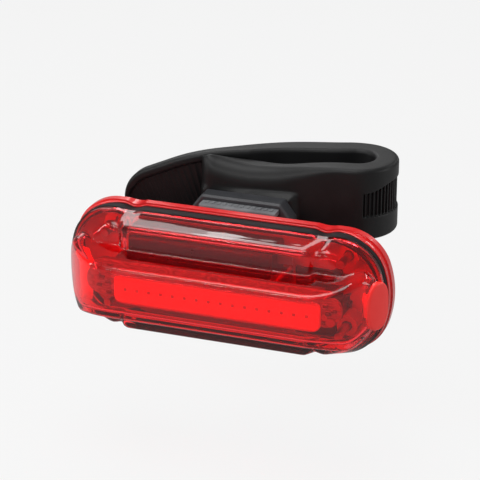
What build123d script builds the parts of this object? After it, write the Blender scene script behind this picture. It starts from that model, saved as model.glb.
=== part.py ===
from build123d import *
import math
import os

# Bicycle rear light on a rubber seat post strap. All sizes in millimetres.
# While it is modelled, X runs along the light, the light shines towards -Y, Z is up
# and the lens rim lies in the plane y = 0. At the end everything moves so that the
# centre of the strap's loop is the origin.

# General clearances and overruns
overrun = 1.0
fit_gap = 0.15
seat_gap = 0.1
strap_split_gap = 0.3

# Outline of the light seen from the front
light_length = 68.0
light_height = 25.6
corner_from_end = 10.0
end_radius = 20.0
waist_from_end = 13.8
waist_half_width = 2.7
waist_depth = 0.6
waist_lead = 0.05

# Seal between lens and housing
seal_width = 2.6
seal_inset = 0.6
seal_wall = 2.2

# Front lens
lens_wall = 1.4
lens_rim_inset = 0.75
lens_rim_band = 1.2
shoulder_depth = 6.0
shoulder_from_end = 6.8
shoulder_from_top = 1.8
shoulder_corner_from_end = 13.5
panel_depth = 7.0
panel_from_end = 14.3
panel_from_top = 1.7
panel_root_depth = 1.6
panel_root_from_end = 11.7
panel_root_from_top = 1.15
panel_corner_radius = 1.4
panel_edge_radius = 0.5

# Bar of the lens that covers the light strip
bar_depth = 13.0
bar_end_run = 15.6
bar_end_power = 2.5
bar_crease_depth = 7.0
bar_crease_z = 6.2
bar_front_z = 4.2
bar_edge_radius = 0.5
bar_slot_height = 18.0
bar_plan_steps = 9

# Rear housing
housing_wall = 1.6
housing_depth = 5.8
housing_band = 1.6
housing_back_from_end = 4.5
housing_back_from_top = 3.0
housing_back_corner_from_end = 12.8
housing_edge_radius = 1.8

# Screws that hold the lens to the housing
screw_from_end = 9.4
screw_from_top = 5.2
screw_shank_radius = 0.9
screw_head_radius = 1.7
screw_head_height = 1.0
screw_reach = 4.4
screw_boss_radius = 2.1
screw_drive_width = 0.5
screw_drive_depth = 0.4

# Power button on the right end of the bar
button_height = 10.2
button_width = 5.8
button_depth = 3.4
button_proud = 0.45
button_length = 3.6
button_flange = 0.8
button_flange_thickness = 0.8
button_stem_radius = 1.1
button_travel = 0.4

# Side switch behind the button
switch_body = 3.4
switch_body_height = 3.6
switch_centre_z = 0.7
switch_thickness = 2.0
switch_stem_radius = 0.8
switch_stem_length = 1.2
switch_stem_seat = 0.6

# Light board, strip and chips
board_from_left_end = 8.0
board_from_right_end = 7.4
board_height = 6.6
board_thickness = 1.0
board_corner_radius = 3.0
board_front_depth = 8.4
strip_from_board_left = 6.3
strip_from_board_right = 3.9
strip_height = 5.4
strip_thickness = 0.6
chip_count = 16
chip_size = 0.5
chip_proud = 0.12
pad_radius = 0.6
pad_height = 0.25
pad_pitch = 2.4
board_screw_from_end = 1.9
board_screw_z = 1.9
board_screw_head_radius = 0.9
board_screw_head_height = 0.6
board_screw_reach = 2.6
board_screw_shank_radius = 0.55

# Carrier behind the light board
carrier_thickness = 1.2
carrier_leg_width = 2.0
carrier_leg_height = 2.6

# Battery
cell_from_left_end = 13.0
cell_from_right_end = 24.0
cell_from_top = 5.8
cell_from_bottom = 7.8
cell_thickness = 7.2
cell_corner_radius = 1.6
cell_tab_width = 2.4
cell_tab_offset = 3.8
cell_tab_thickness = 0.2
cell_tab_length = 3.2

# Charging board and its socket on the lower side of the housing
charge_board_length = 8.4
charge_board_height = 14.0
charge_board_thickness = 0.8
charge_board_from_end = 15.8
charge_chip_size = 3.0
charge_chip_thickness = 0.9
coil_radius = 1.8
coil_height = 1.4
socket_width = 7.5
socket_thickness = 2.5
socket_length = 5.0
socket_wall = 0.35
socket_tongue_thickness = 0.6
socket_tongue_width = 4.6
port_width = 9.6
port_thickness = 3.2
port_land_back = 7.2
port_land_rise = 0.05
port_land_thickness = 2.2
cover_thickness = 1.0
cover_margin = 0.9
cover_plug_clearance = 0.4
cover_plug_length = 0.8
lead_radius = 0.45
socket_narrow_share = 0.78
socket_inset = 0.3
socket_overhang = 0.3
socket_board_y = 2.7

# Rail on the back of the housing and the bracket that takes it
rail_neck_width = 7.0
rail_neck_depth = 1.2
rail_head_width = 10.0
rail_head_depth = 1.1
rail_height = 12.0
rail_centre_z = 1.5
bracket_width = 21.6
bracket_bottom_z = -5.4
bracket_above_light = 0.8
bracket_front_gap = 0.25
bracket_thickness = 3.4
bracket_corner_x = 2.4
bracket_corner_z = 3.2
bracket_corner_radius = 0.8
tab_length = 16.2
tab_centre_x = 0.1
tab_reach = 2.5
tab_thickness = 1.0
tab_drop = 1.1
tab_ridge_count = 12
tab_ridge_height = 0.12
tab_slot_depth = 1.0
tab_edge_share = 0.4
tab_ridge_share = 0.5
saddle_hold_depth = 1.6
rivet_radius = 1.5
rivet_head_radius = 2.2
rivet_head_height = 0.8
rivet_x = 7.8
rivet_below_top = 7.2

# Strap: a teardrop loop seen from above, with a loose tail at the left
loop_x = 19.8
loop_y = 23.6
loop_radius = 8.6
loop_opening_radius = 3.7
opening_tip_x = -1.5
opening_tip_y = 16.8
opening_tip_radius = 0.35
saddle_end_x = -7.4
saddle_end_y = 15.4
saddle_end_radius = 3.2
bend_start_x = 11.0
strap_below_bracket_top = 7.0
strap_height = 13.7
rail_height_of_strap = 2.5
recess_depth = 0.9
rim_radius = 0.8
saddle_below_strap = 3.6
saddle_bevel_height = 3.0
saddle_bevel_depth = 1.6
saddle_bevel_run = 24.0
saddle_pad_half_x = 9.6
saddle_pad_rise = 8.4
rib_pitch_angle = 6.2
rib_first_angle = -57.0
rib_last_angle = 84.0
rib_radius = 0.3
tail_root_x = -6.2
tail_root_y = 17.0
tail_root_radius = 1.6
tail_reach = 19.8
tail_tip_x = -25.2
tail_tip_y = 12.4
tail_tip_radius = 1.55
tail_droop_angle = 15.0
tail_recess_depth = 0.7
tail_rib_pitch = 1.0
tail_rib_radius = 0.25
tail_rail_width = 2.8
tail_corner_radius = 6.0
tail_width = 14.2
plan_reach_share = 4

# Values worked out from the driving dimensions
half_length = light_length / 2
half_height = light_height / 2
corner_start_x = half_length - corner_from_end
waist_x = half_length - waist_from_end
shoulder_half_x = half_length - shoulder_from_end
shoulder_half_z = half_height - shoulder_from_top
shoulder_corner_x = half_length - shoulder_corner_from_end
panel_length = light_length - 2 * panel_from_end
panel_height = light_height - 2 * panel_from_top
panel_root_length = light_length - 2 * panel_root_from_end
panel_root_height = light_height - 2 * panel_root_from_top
bar_flat_half_x = half_length - bar_end_run
housing_back_half_x = half_length - housing_back_from_end
housing_back_half_z = half_height - housing_back_from_top
housing_back_corner_x = half_length - housing_back_corner_from_end
screw_x = half_length - screw_from_end
screw_z = half_height - screw_from_top
board_left_x = -half_length + board_from_left_end
board_right_x = half_length - board_from_right_end
strip_left_x = board_left_x + strip_from_board_left
strip_right_x = board_right_x - strip_from_board_right
cell_left_x = -half_length + cell_from_left_end
cell_right_x = half_length - cell_from_right_end
cell_top_z = half_height - cell_from_top
cell_bottom_z = -half_height + cell_from_bottom
charge_board_x = half_length - charge_board_from_end
seal_back_y = seal_width
housing_back_y = seal_back_y + housing_depth
floor_y = housing_back_y - housing_wall
board_back_y = -(board_front_depth - board_thickness)
carrier_back_y = board_back_y + carrier_thickness
bracket_front_y = housing_back_y + bracket_front_gap
bracket_back_y = bracket_front_y + bracket_thickness
bracket_top_z = half_height + bracket_above_light
rivet_z = bracket_top_z - rivet_below_top
strap_bottom_z = bracket_top_z - strap_below_bracket_top
strap_top_z = strap_bottom_z + strap_height
saddle_bottom_z = strap_bottom_z - saddle_below_strap
saddle_pad_top_z = strap_bottom_z + saddle_pad_rise
strap_middle_z = (strap_bottom_z + strap_top_z) / 2
plan_reach = plan_reach_share * loop_radius


def front_plane(y):
    """Plane square to Y at the given y; its own x is X and its own y is Z."""
    return Plane.XZ.offset(-y)


def box_between(x0, x1, y0, y1, z0, z1):
    """Box between two corners."""
    size = Box(x1 - x0, y1 - y0, z1 - z0)
    return Pos((x0 + x1) / 2, (y0 + y1) / 2, (z0 + z1) / 2) * size


def along_y(radius, y0, y1):
    """Cylinder on the Y axis from y0 to y1."""
    return Pos(0, (y0 + y1) / 2, 0) * Rot(90, 0, 0) * Cylinder(radius, y1 - y0)


def along_x(radius, x0, x1):
    """Cylinder on the X axis from x0 to x1."""
    return Pos((x0 + x1) / 2, 0, 0) * Rot(0, 90, 0) * Cylinder(radius, x1 - x0)


def outline_face(half_x, half_z, corner_x, y):
    """Long rounded outline: flat top and bottom, a corner arc and an end arc that meet in one tangent."""
    to_end = half_x - end_radius - corner_x
    corner = (end_radius**2 - to_end**2 - half_z**2) / (2 * (end_radius - half_z))
    grow = end_radius / (end_radius - corner)
    end_centre_x = half_x - end_radius
    join_x = end_centre_x + (corner_x - end_centre_x) * grow
    join_z = (half_z - corner) * grow
    join_angle = math.atan2(join_z - half_z + corner, join_x - corner_x)
    middle_angle = (math.pi / 2 + join_angle) / 2
    bow_x = corner_x + corner * math.cos(middle_angle)
    bow_z = half_z - corner + corner * math.sin(middle_angle)
    edges = []
    for side in (1, -1):
        edges.append(Line((-side * corner_x, side * half_z), (side * corner_x, side * half_z)))
        edges.append(
            ThreePointArc(
                (side * corner_x, side * half_z),
                (side * bow_x, side * bow_z),
                (side * join_x, side * join_z),
            )
        )
        edges.append(
            ThreePointArc(
                (side * join_x, side * join_z),
                (side * half_x, 0),
                (side * join_x, -side * join_z),
            )
        )
        edges.append(
            ThreePointArc(
                (side * join_x, -side * join_z),
                (side * bow_x, -side * bow_z),
                (side * corner_x, -side * half_z),
            )
        )
    return front_plane(y) * make_face(Curve() + edges)


def waist_profile(half_z, y):
    """Face whose lower edge is a shallow dip with soft ends, above the top of the outline."""
    lead_z = half_z + waist_lead
    low_z = half_z - waist_depth
    middle_z = (lead_z + low_z) / 2
    start = (waist_x - waist_half_width, lead_z)
    low = (waist_x, low_z)
    end = (waist_x + waist_half_width, lead_z)
    enter = (waist_x - waist_half_width / 2, middle_z)
    leave = (waist_x + waist_half_width / 2, middle_z)
    edges = [
        TangentArc(start, enter, tangent=(1, 0)),
        TangentArc(low, enter, tangent=(-1, 0)),
        TangentArc(low, leave, tangent=(1, 0)),
        TangentArc(end, leave, tangent=(-1, 0)),
        Line(end, (end[0], lead_z + overrun)),
        Line((end[0], lead_z + overrun), (start[0], lead_z + overrun)),
        Line((start[0], lead_z + overrun), start),
    ]
    return front_plane(y) * make_face(Curve() + edges)


def waists(half_z_front, y_front, half_z_back, y_back):
    """The four dips of the outline, as cutters between two planes."""
    dip = loft([waist_profile(half_z_front, y_front), waist_profile(half_z_back, y_back)])
    pair = dip + mirror(dip, Plane.YZ)
    return pair + mirror(pair, Plane.XY)


def bar_plan_depth(x):
    """Depth of the bar's front at x: flat in the middle, then a power curve down to its end."""
    way = max(0, x - bar_flat_half_x) / bar_end_run
    return bar_depth * (1 - way**bar_end_power)


def bar_plan_point(way, wall):
    """Plan point on the bar's front at a way from 0 to 1 towards its end, moved in by a wall."""
    slope = bar_depth * bar_end_power * way ** (bar_end_power - 1) / bar_end_run
    steep = math.hypot(1, slope)
    x = bar_flat_half_x + bar_end_run * way
    return (x - wall * slope / steep, -bar_plan_depth(x) + wall / steep)


def bar_plan(wall):
    """Plan of the bar, drawn in by a wall: straight front and two smooth ends."""
    points = [bar_plan_point(i / bar_plan_steps, wall) for i in range(bar_plan_steps + 1)]
    curve = Spline(*points, tangents=[(1, 0), (bar_end_run, bar_depth * bar_end_power)])
    left = mirror(curve, Plane.YZ)
    start_x, start_y = points[0]
    end_x, end_y = points[-1]
    front = Line((-start_x, start_y), (start_x, start_y))
    back = Line((end_x, end_y), (-end_x, end_y))
    return make_face(Curve() + [left, front, curve, back])


def bar_section(wall):
    """Cross-section of the bar, drawn in by a wall: both sides slope in towards the front."""
    lean = (bar_crease_z - bar_front_z) / (bar_depth - bar_crease_depth)
    across = wall * math.hypot(1, lean)
    root_z = bar_crease_z + lean * (bar_crease_depth + overrun) - across
    tip_z = bar_front_z - lean * overrun - across
    return make_face(
        Polyline(
            (overrun, root_z),
            (-bar_depth - overrun, tip_z),
            (-bar_depth - overrun, -tip_z),
            (overrun, -root_z),
            (overrun, root_z),
        )
    )


def bar_form(wall):
    """Raised bar of the lens, drawn in by a wall: what its plan, section and slot have in common."""
    reach = half_length + overrun
    tall = between_levels(bar_plan(wall), -half_height, half_height)
    long = extrude(Plane.YZ.offset(-reach) * bar_section(wall), 2 * reach)
    slot = front_plane(overrun) * SlotOverall(
        light_length - 2 * lens_rim_inset - 2 * wall, bar_slot_height - 2 * wall
    )
    bar = tall & long
    if wall == 0:
        bar = fillet(bar.edges().filter_by(lambda e: e.center().Y < -bar_crease_depth), bar_edge_radius)
    return bar & extrude(slot, bar_depth + 2 * overrun)


def shoulder_form(wall):
    """Outline of the lens sloping forward from its rim to the shoulders."""
    rim_x = half_length - lens_rim_inset - wall
    rim_z = half_height - lens_rim_inset - wall
    front_x = shoulder_half_x - wall
    front_z = shoulder_half_z - wall
    rim = outline_face(rim_x, rim_z, corner_start_x - wall / 2, 0)
    band = outline_face(rim_x, rim_z, corner_start_x - wall / 2, -lens_rim_band)
    front = outline_face(front_x, front_z, shoulder_corner_x - wall / 2, -(shoulder_depth - wall))
    return loft([rim, band], ruled=True) + loft([band, front], ruled=True)


def panel_form(wall):
    """Middle panel above and below the bar, a little prouder than the corner lobes."""
    front = front_plane(-(panel_depth - wall)) * Rectangle(
        panel_length - 2 * wall, panel_height - 2 * wall
    )
    root = front_plane(-panel_root_depth) * Rectangle(
        panel_root_length - 2 * wall, panel_root_height - 2 * wall
    )
    panel = loft([root, front], ruled=True)
    if wall == 0:
        flat = panel.edges().filter_by(Plane.XZ)
        slanted = [e for e in panel.edges() if e not in flat]
        panel = fillet(slanted, panel_corner_radius)
        panel = fillet(panel.faces().sort_by(Axis.Y)[0].edges(), panel_edge_radius)
    return panel


def button_outline(margin):
    """Oval of the button on the right end, as a face square to X at x = 0."""
    oval = SlotOverall(button_height + 2 * margin, button_width + 2 * margin, rotation=90)
    return Plane.YZ * Pos(-button_depth, 0) * oval


def button_prism(margin, x0, x1):
    """Prism of the button's oval from x0 to x1."""
    return Pos(x0, 0, 0) * extrude(button_outline(margin), x1 - x0)


def screw_places():
    """The four corners where the screws stand."""
    return [Pos(sx * screw_x, 0, sz * screw_z) for sx in (-1, 1) for sz in (-1, 1)]


def make_front_lens():
    outer = shoulder_form(0) + panel_form(0) + bar_form(0)
    outer -= waists(
        half_height - lens_rim_inset - (shoulder_depth + overrun) * lens_slope(),
        -(shoulder_depth + overrun),
        half_height - lens_rim_inset,
        0,
    )
    inner = shoulder_form(lens_wall) + panel_form(lens_wall) + bar_form(lens_wall)
    lens = outer - inner
    for place in screw_places():
        boss = place * along_y(screw_boss_radius, -screw_reach, 0)
        lens += boss & outer
    for place in screw_places():
        lens -= place * along_y(screw_shank_radius, -(screw_reach - lens_rim_band), overrun)
    lens -= button_prism(fit_gap, half_length - button_length - lens_wall, half_length + overrun)
    return lens


def lens_slope():
    """How far the lens's top falls for each step forward."""
    return (half_height - lens_rim_inset - shoulder_half_z) / shoulder_depth


def make_seal():
    seal_x = half_length - seal_inset
    seal_z = half_height - seal_inset
    outer = extrude(outline_face(seal_x, seal_z, corner_start_x, 0), -seal_width)
    inner = extrude(
        outline_face(
            seal_x - seal_wall, seal_z - seal_wall, corner_start_x - seal_wall / 2, -overrun
        ),
        -(seal_width + 2 * overrun),
    )
    ring = outer - inner - waists(seal_z, -overrun, seal_z, seal_width + overrun)
    for place in screw_places():
        ring -= place * along_y(screw_boss_radius + fit_gap, -overrun, seal_width + overrun)
    return ring


def housing_form(wall):
    """Rear housing, drawn in by a wall: a straight band, then a slope to its flat back."""
    x = half_length - wall
    z = half_height - wall
    corner = corner_start_x - wall / 2
    back_y = housing_back_y - wall
    rim = outline_face(x, z, corner, seal_back_y)
    band = outline_face(x, z, corner, seal_back_y + housing_band)
    back = outline_face(
        housing_back_half_x - wall,
        housing_back_half_z - wall,
        housing_back_corner_x - wall / 2,
        back_y,
    )
    return loft([rim, band], ruled=True) + loft([band, back], ruled=True)


def make_rear_housing():
    outer = housing_form(0)
    outer = fillet(outer.faces().sort_by(Axis.Y)[-1].edges(), housing_edge_radius)
    outer -= waists(half_height, seal_back_y - overrun, half_height, housing_back_y)
    housing = outer - housing_form(housing_wall)
    for place in screw_places():
        housing += place * along_y(screw_boss_radius, seal_back_y, floor_y + seat_gap)
    for place in screw_places():
        housing -= place * along_y(screw_shank_radius + fit_gap, -overrun, housing_back_y + overrun)
        seat_y = housing_back_y - screw_head_height - seat_gap
        housing -= place * along_y(screw_head_radius + fit_gap, seat_y, housing_back_y + overrun)
    neck_back = housing_back_y + rail_neck_depth
    head_back = neck_back + rail_head_depth
    low = rail_centre_z - rail_height / 2
    high = rail_centre_z + rail_height / 2
    housing += box_between(
        -rail_neck_width / 2, rail_neck_width / 2, floor_y, neck_back, low, high
    )
    head = box_between(
        -rail_head_width / 2, rail_head_width / 2, neck_back, head_back, low, high
    )
    housing += head
    housing += box_between(
        charge_board_x - port_width / 2 - 2 * cover_margin,
        charge_board_x + port_width / 2 + 2 * cover_margin,
        seal_back_y,
        port_land_back,
        -half_height + port_land_rise,
        land_inner_z(),
    )
    housing -= port_plan(0, -half_height - overrun, land_inner_z() + overrun)
    housing -= cover_plan(fit_gap, -half_height - overrun, -half_height + cover_thickness)
    housing -= box_between(
        charge_board_x - socket_width / 2 - fit_gap,
        charge_board_x + socket_width / 2 + fit_gap,
        socket_board_y + charge_board_thickness - fit_gap,
        socket_board_y + charge_board_thickness + socket_thickness + fit_gap,
        land_inner_z() - overrun,
        0,
    )
    return housing


def port_plan(shrink, z0, z1):
    """Prism of the charging port's mouth."""
    return box_between(
        charge_board_x - port_width / 2 + shrink,
        charge_board_x + port_width / 2 - shrink,
        socket_y() - port_thickness / 2 + shrink,
        socket_y() + port_thickness / 2 - shrink,
        z0,
        z1,
    )


def cover_plan(grow, z0, z1):
    """Prism of the port cover's plate, with round corners."""
    plate = box_between(
        charge_board_x - port_width / 2 - cover_margin - grow,
        charge_board_x + port_width / 2 + cover_margin + grow,
        seal_back_y + cover_margin / 2 - grow,
        port_land_back - cover_margin / 2 + grow,
        z0,
        z1,
    )
    return fillet(plate.edges().filter_by(Axis.Z), cover_margin)


def socket_y():
    """Middle of the charging socket's thickness, which stands behind its board."""
    return socket_board_y + charge_board_thickness + socket_thickness / 2


def land_inner_z():
    """Inner side of the flat land round the charging port."""
    return -half_height + port_land_thickness


def make_housing_screws():
    screws = []
    for place in screw_places():
        tip = -(screw_reach - lens_rim_band - 2 * seat_gap)
        shank = along_y(screw_shank_radius - fit_gap / 2, tip, housing_back_y - screw_head_height)
        head = along_y(
            screw_head_radius, housing_back_y - screw_head_height, housing_back_y - seat_gap
        )
        slot = box_between(
            -screw_head_radius, screw_head_radius,
            housing_back_y - screw_drive_depth, housing_back_y,
            -screw_drive_width / 2, screw_drive_width / 2,
        )
        screws.append(place * (shank + head - slot - Rot(0, 90, 0) * slot))
    return Compound(children=[s.solid() for s in screws])


def make_power_button():
    shown = button_prism(0, half_length - button_length, half_length + overrun)
    crown = bar_form(-button_proud)
    button = shown & crown
    flange = button_prism(
        button_flange,
        half_length - button_length - button_flange_thickness,
        half_length - button_length,
    )
    button += flange & bar_form(lens_wall + fit_gap)
    stem_end = switch_front_x() + seat_gap / 2
    button += Pos(0, -button_depth, 0) * along_x(
        button_stem_radius, stem_end, half_length - button_length
    )
    return button


def switch_front_x():
    """Where the switch's own stem ends, which the button pushes."""
    return switch_body_x() + switch_body / 2 + switch_stem_length - switch_stem_seat


def switch_body_x():
    """Middle of the switch's body along X."""
    return board_right_x - switch_body / 2 - seat_gap


def make_switch_body():
    back_y = -button_depth + switch_thickness / 2 + seat_gap
    body = box_between(
        switch_body_x() - switch_body / 2,
        switch_body_x() + switch_body / 2,
        board_back_y,
        back_y,
        switch_centre_z - switch_body_height / 2,
        switch_centre_z + switch_body_height / 2,
    )
    bore = Pos(0, -button_depth, 0) * along_x(
        switch_stem_radius + fit_gap / 2,
        switch_body_x() + switch_body / 2 - switch_stem_seat - button_travel - seat_gap,
        switch_body_x() + switch_body / 2 + overrun,
    )
    return body - bore


def make_switch_stem():
    return Pos(0, -button_depth, 0) * along_x(
        switch_stem_radius,
        switch_body_x() + switch_body / 2 - switch_stem_seat,
        switch_front_x(),
    )


def make_light_board():
    board = box_between(
        board_left_x, board_right_x,
        -board_front_depth, board_back_y,
        -board_height / 2, board_height / 2,
    )
    board = fillet(board.edges().filter_by(Axis.Y), board_corner_radius)
    for x, z in board_screw_places():
        board -= Pos(x, 0, z) * along_y(
            board_screw_shank_radius + fit_gap, -board_front_depth - overrun, board_back_y + overrun
        )
    return board


def board_screw_places():
    """Two opposite corners of the light board."""
    left_x = board_left_x + board_screw_from_end
    right_x = board_right_x - board_screw_from_end
    return [(right_x, -board_screw_z), (left_x, board_screw_z)]


def make_board_screws():
    screws = []
    for x, z in board_screw_places():
        front = -board_front_depth
        head = along_y(board_screw_head_radius, front - board_screw_head_height, front)
        shank = along_y(board_screw_shank_radius, front, front + board_screw_reach)
        screws.append(Pos(x, 0, z) * (head + shank))
    return Compound(children=[s.solid() for s in screws])


def make_light_strip():
    strip = box_between(
        strip_left_x, strip_right_x,
        -board_front_depth - strip_thickness, -board_front_depth,
        -strip_height / 2, strip_height / 2,
    )
    return fillet(strip.edges().filter_by(Axis.Y), panel_corner_radius)


def make_light_chips():
    pitch = (strip_right_x - strip_left_x) / (chip_count + 1)
    first = strip_left_x + pitch
    front = -board_front_depth - strip_thickness
    chips = [
        box_between(
            first + pitch * i - chip_size / 2, first + pitch * i + chip_size / 2,
            front - chip_proud, front,
            -chip_size / 2, chip_size / 2,
        )
        for i in range(chip_count)
    ]
    return Compound(children=[c.solid() for c in chips])


def make_solder_pads():
    front = -board_front_depth
    right_x = strip_right_x + pad_radius + seat_gap
    left_x = strip_left_x - pad_radius - seat_gap
    pads = []
    for x in (left_x, right_x):
        for z in (-pad_pitch / 2, pad_pitch / 2):
            pads.append(Pos(x, 0, z) * along_y(pad_radius, front - pad_height, front))
    return Compound(children=[p.solid() for p in pads])


def make_carrier():
    """Plate behind the light board on four legs that stand on the housing's floor."""
    plate = box_between(
        board_left_x, board_right_x,
        board_back_y, carrier_back_y,
        -board_height / 2, board_height / 2,
    )
    plate = fillet(plate.edges().filter_by(Axis.Y), board_corner_radius)
    plate -= box_between(
        switch_body_x() - switch_body / 2 - seat_gap, board_right_x + overrun,
        board_back_y - overrun, carrier_back_y + overrun,
        switch_centre_z - switch_body_height / 2 - seat_gap, board_height,
    )
    aside = carrier_leg_width / 2 + seat_gap
    for x in (cell_left_x - aside, cell_right_x + aside):
        plate += box_between(
            x - carrier_leg_width / 2, x + carrier_leg_width / 2,
            carrier_back_y, floor_y,
            -carrier_leg_height / 2, carrier_leg_height / 2,
        )
    for x, z in board_screw_places():
        plate -= Pos(x, 0, z) * along_y(
            board_screw_shank_radius + fit_gap / 2, board_back_y - overrun, carrier_back_y + overrun
        )
    return plate


def make_battery():
    cell = box_between(
        cell_left_x, cell_right_x,
        floor_y - seat_gap - cell_thickness, floor_y - seat_gap,
        cell_bottom_z, cell_top_z,
    )
    return fillet(cell.edges().filter_by(Axis.X), cell_corner_radius)


def cell_tab_levels():
    """Heights of the battery's two tabs."""
    middle = (cell_bottom_z + cell_top_z) / 2
    return (middle - cell_tab_offset, middle + cell_tab_offset)


def make_battery_tabs():
    tabs = []
    for z in cell_tab_levels():
        tabs.append(
            box_between(
                cell_right_x + seat_gap, cell_right_x + seat_gap + cell_tab_length,
                floor_y - cell_thickness / 2 - cell_tab_thickness / 2,
                floor_y - cell_thickness / 2 + cell_tab_thickness / 2,
                z - cell_tab_width / 2, z + cell_tab_width / 2,
            )
        )
    return Compound(children=[t.solid() for t in tabs])


def make_charge_board():
    return box_between(
        charge_board_x - charge_board_length / 2, charge_board_x + charge_board_length / 2,
        socket_board_y, socket_board_y + charge_board_thickness,
        charge_board_bottom_z(), charge_board_bottom_z() + charge_board_height,
    )


def charge_board_bottom_z():
    """Lower edge of the charging board, just above the land round the port."""
    return land_inner_z() + socket_inset


def make_charge_parts():
    front = socket_board_y
    low = charge_board_bottom_z() + charge_chip_size
    chip = box_between(
        charge_board_x - charge_chip_size / 2, charge_board_x + charge_chip_size / 2,
        front - charge_chip_thickness, front,
        low - charge_chip_size / 2, low + charge_chip_size / 2,
    )
    coil = Pos(charge_board_x, 0, low + charge_chip_size / 2 + coil_radius + fit_gap) * along_y(
        coil_radius, front - coil_height, front
    )
    return Compound(children=[chip.solid(), coil.solid()])


def socket_shell(margin, z0, z1):
    """Prism of the charging socket's mouth: a slot with two drawn-in lower corners, along Z."""
    half = socket_width / 2 - margin
    thick = socket_thickness / 2 - margin
    face = make_face(
        Polyline(
            (-half, thick),
            (half, thick),
            (half, 0),
            (half * socket_narrow_share, -thick),
            (-half * socket_narrow_share, -thick),
            (-half, 0),
            (-half, thick),
        )
    )
    return Pos(charge_board_x, socket_y(), z0) * extrude(face, z1 - z0)


def make_charge_socket():
    low = charge_board_bottom_z() - socket_overhang + seat_gap
    high = low + socket_length
    shell = socket_shell(0, low, high) - socket_shell(socket_wall, low - overrun, high - socket_wall)
    shell += box_between(
        charge_board_x - socket_tongue_width / 2, charge_board_x + socket_tongue_width / 2,
        socket_y() - socket_tongue_thickness / 2, socket_y() + socket_tongue_thickness / 2,
        low + socket_wall, high - socket_wall / 2,
    )
    return Pos(0, 2 * socket_y(), 0) * mirror(shell, Plane.XZ)


def make_port_cover():
    """Rubber flap under the housing with a plug that goes into the port."""
    low = -half_height + port_land_rise
    top = -half_height + cover_thickness - seat_gap
    plug = port_plan(cover_plug_clearance, top, top + cover_plug_length)
    return cover_plan(0, low, top) + plug


def make_leads():
    """Two wires from the battery's tabs to the carrier of the light board."""
    x = cell_right_x + seat_gap + cell_tab_length - lead_radius
    tab_front = floor_y - cell_thickness / 2 - cell_tab_thickness / 2
    wires = []
    for z in cell_tab_levels():
        level = max(-board_height / 2 + lead_radius, min(z, board_height / 2 - lead_radius))
        wires.append(Pos(x, 0, level) * along_y(lead_radius, carrier_back_y, tab_front))
    return Compound(children=[w.solid() for w in wires])


def bracket_outline():
    """Bracket plate seen from the front: slanted upper corners, soft all round."""
    half = bracket_width / 2
    outline = Polyline(
        (-half, bracket_bottom_z),
        (-half, bracket_top_z - bracket_corner_z),
        (-half + bracket_corner_x, bracket_top_z),
        (half - bracket_corner_x, bracket_top_z),
        (half, bracket_top_z - bracket_corner_z),
        (half, bracket_bottom_z),
        (-half, bracket_bottom_z),
    )
    face = make_face(outline)
    return front_plane(bracket_front_y) * fillet(face.vertices(), bracket_corner_radius)


def make_bracket():
    plate = extrude(bracket_outline(), -bracket_thickness)
    rim = plate.faces().sort_by(Axis.Y)[0].edges()
    plate = chamfer(rim, bracket_corner_radius / 2)
    neck_back = housing_back_y + rail_neck_depth
    head_back = neck_back + rail_head_depth
    high = rail_centre_z + rail_height / 2 + seat_gap
    plate -= box_between(
        -rail_neck_width / 2 - fit_gap, rail_neck_width / 2 + fit_gap,
        bracket_front_y - overrun, neck_back, bracket_bottom_z - overrun, high,
    )
    plate -= box_between(
        -rail_head_width / 2 - fit_gap, rail_head_width / 2 + fit_gap,
        neck_back - fit_gap, head_back + fit_gap, bracket_bottom_z - overrun, high,
    )
    plate -= box_between(
        tab_centre_x - tab_length / 2 - fit_gap, tab_centre_x + tab_length / 2 + fit_gap,
        bracket_front_y - overrun, bracket_front_y + tab_slot_depth + fit_gap,
        bracket_top_z - tab_drop - tab_thickness - fit_gap, bracket_top_z - tab_drop + fit_gap,
    )
    for x in (-rivet_x, rivet_x):
        plate -= Pos(x, 0, rivet_z) * rivet_form(fit_gap / 2)
    return plate


def rivet_form(grow):
    """Rivet with a flat head sunk in the bracket's front and a shank that ends in the saddle."""
    head_back_y = bracket_front_y + rivet_head_height + grow
    head = along_y(rivet_head_radius + grow, bracket_front_y - grow, head_back_y)
    shank = along_y(rivet_radius + grow, bracket_front_y, bracket_back_y + saddle_hold_depth + grow)
    return head + shank


def make_release_tab():
    top = bracket_top_z - tab_drop
    front = bracket_front_y - tab_reach
    tab = box_between(
        tab_centre_x - tab_length / 2, tab_centre_x + tab_length / 2,
        front, bracket_front_y + tab_slot_depth,
        top - tab_thickness, top,
    )
    tab = fillet(
        tab.edges().filter_by(Axis.X).group_by(Axis.Y)[0], tab_thickness * tab_edge_share
    )
    pitch = tab_length / (tab_ridge_count + 1)
    half_ridge = pitch * tab_ridge_share / 2
    for i in range(tab_ridge_count):
        x = tab_centre_x - pitch * (tab_ridge_count - 1) / 2 + pitch * i
        tab += box_between(
            x - half_ridge, x + half_ridge,
            front + tab_thickness, bracket_front_y - fit_gap,
            top - tab_thickness / 2, top + tab_ridge_height,
        )
    return tab


def make_rivets():
    rivets = [Pos(x, 0, rivet_z) * rivet_form(0) for x in (-rivet_x, rivet_x)]
    return Compound(children=[r.solid() for r in rivets])


def plan_circle(radius, x, y):
    """Round edge in the plan of the strap."""
    return (Pos(x, y) * Circle(radius)).edges()


def plan_hull(circles):
    """Plan face stretched round the given circles of radius, x and y."""
    edges = []
    for radius, x, y in circles:
        edges += plan_circle(radius, x, y)
    return make_hull(edges)


def loop_outer_plan(grow):
    """Outside of the strap's teardrop loop, seen from above."""
    return plan_hull(
        [
            (loop_radius + grow, loop_x, loop_y),
            (saddle_end_radius + grow, saddle_end_x, saddle_end_y),
        ]
    )


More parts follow.
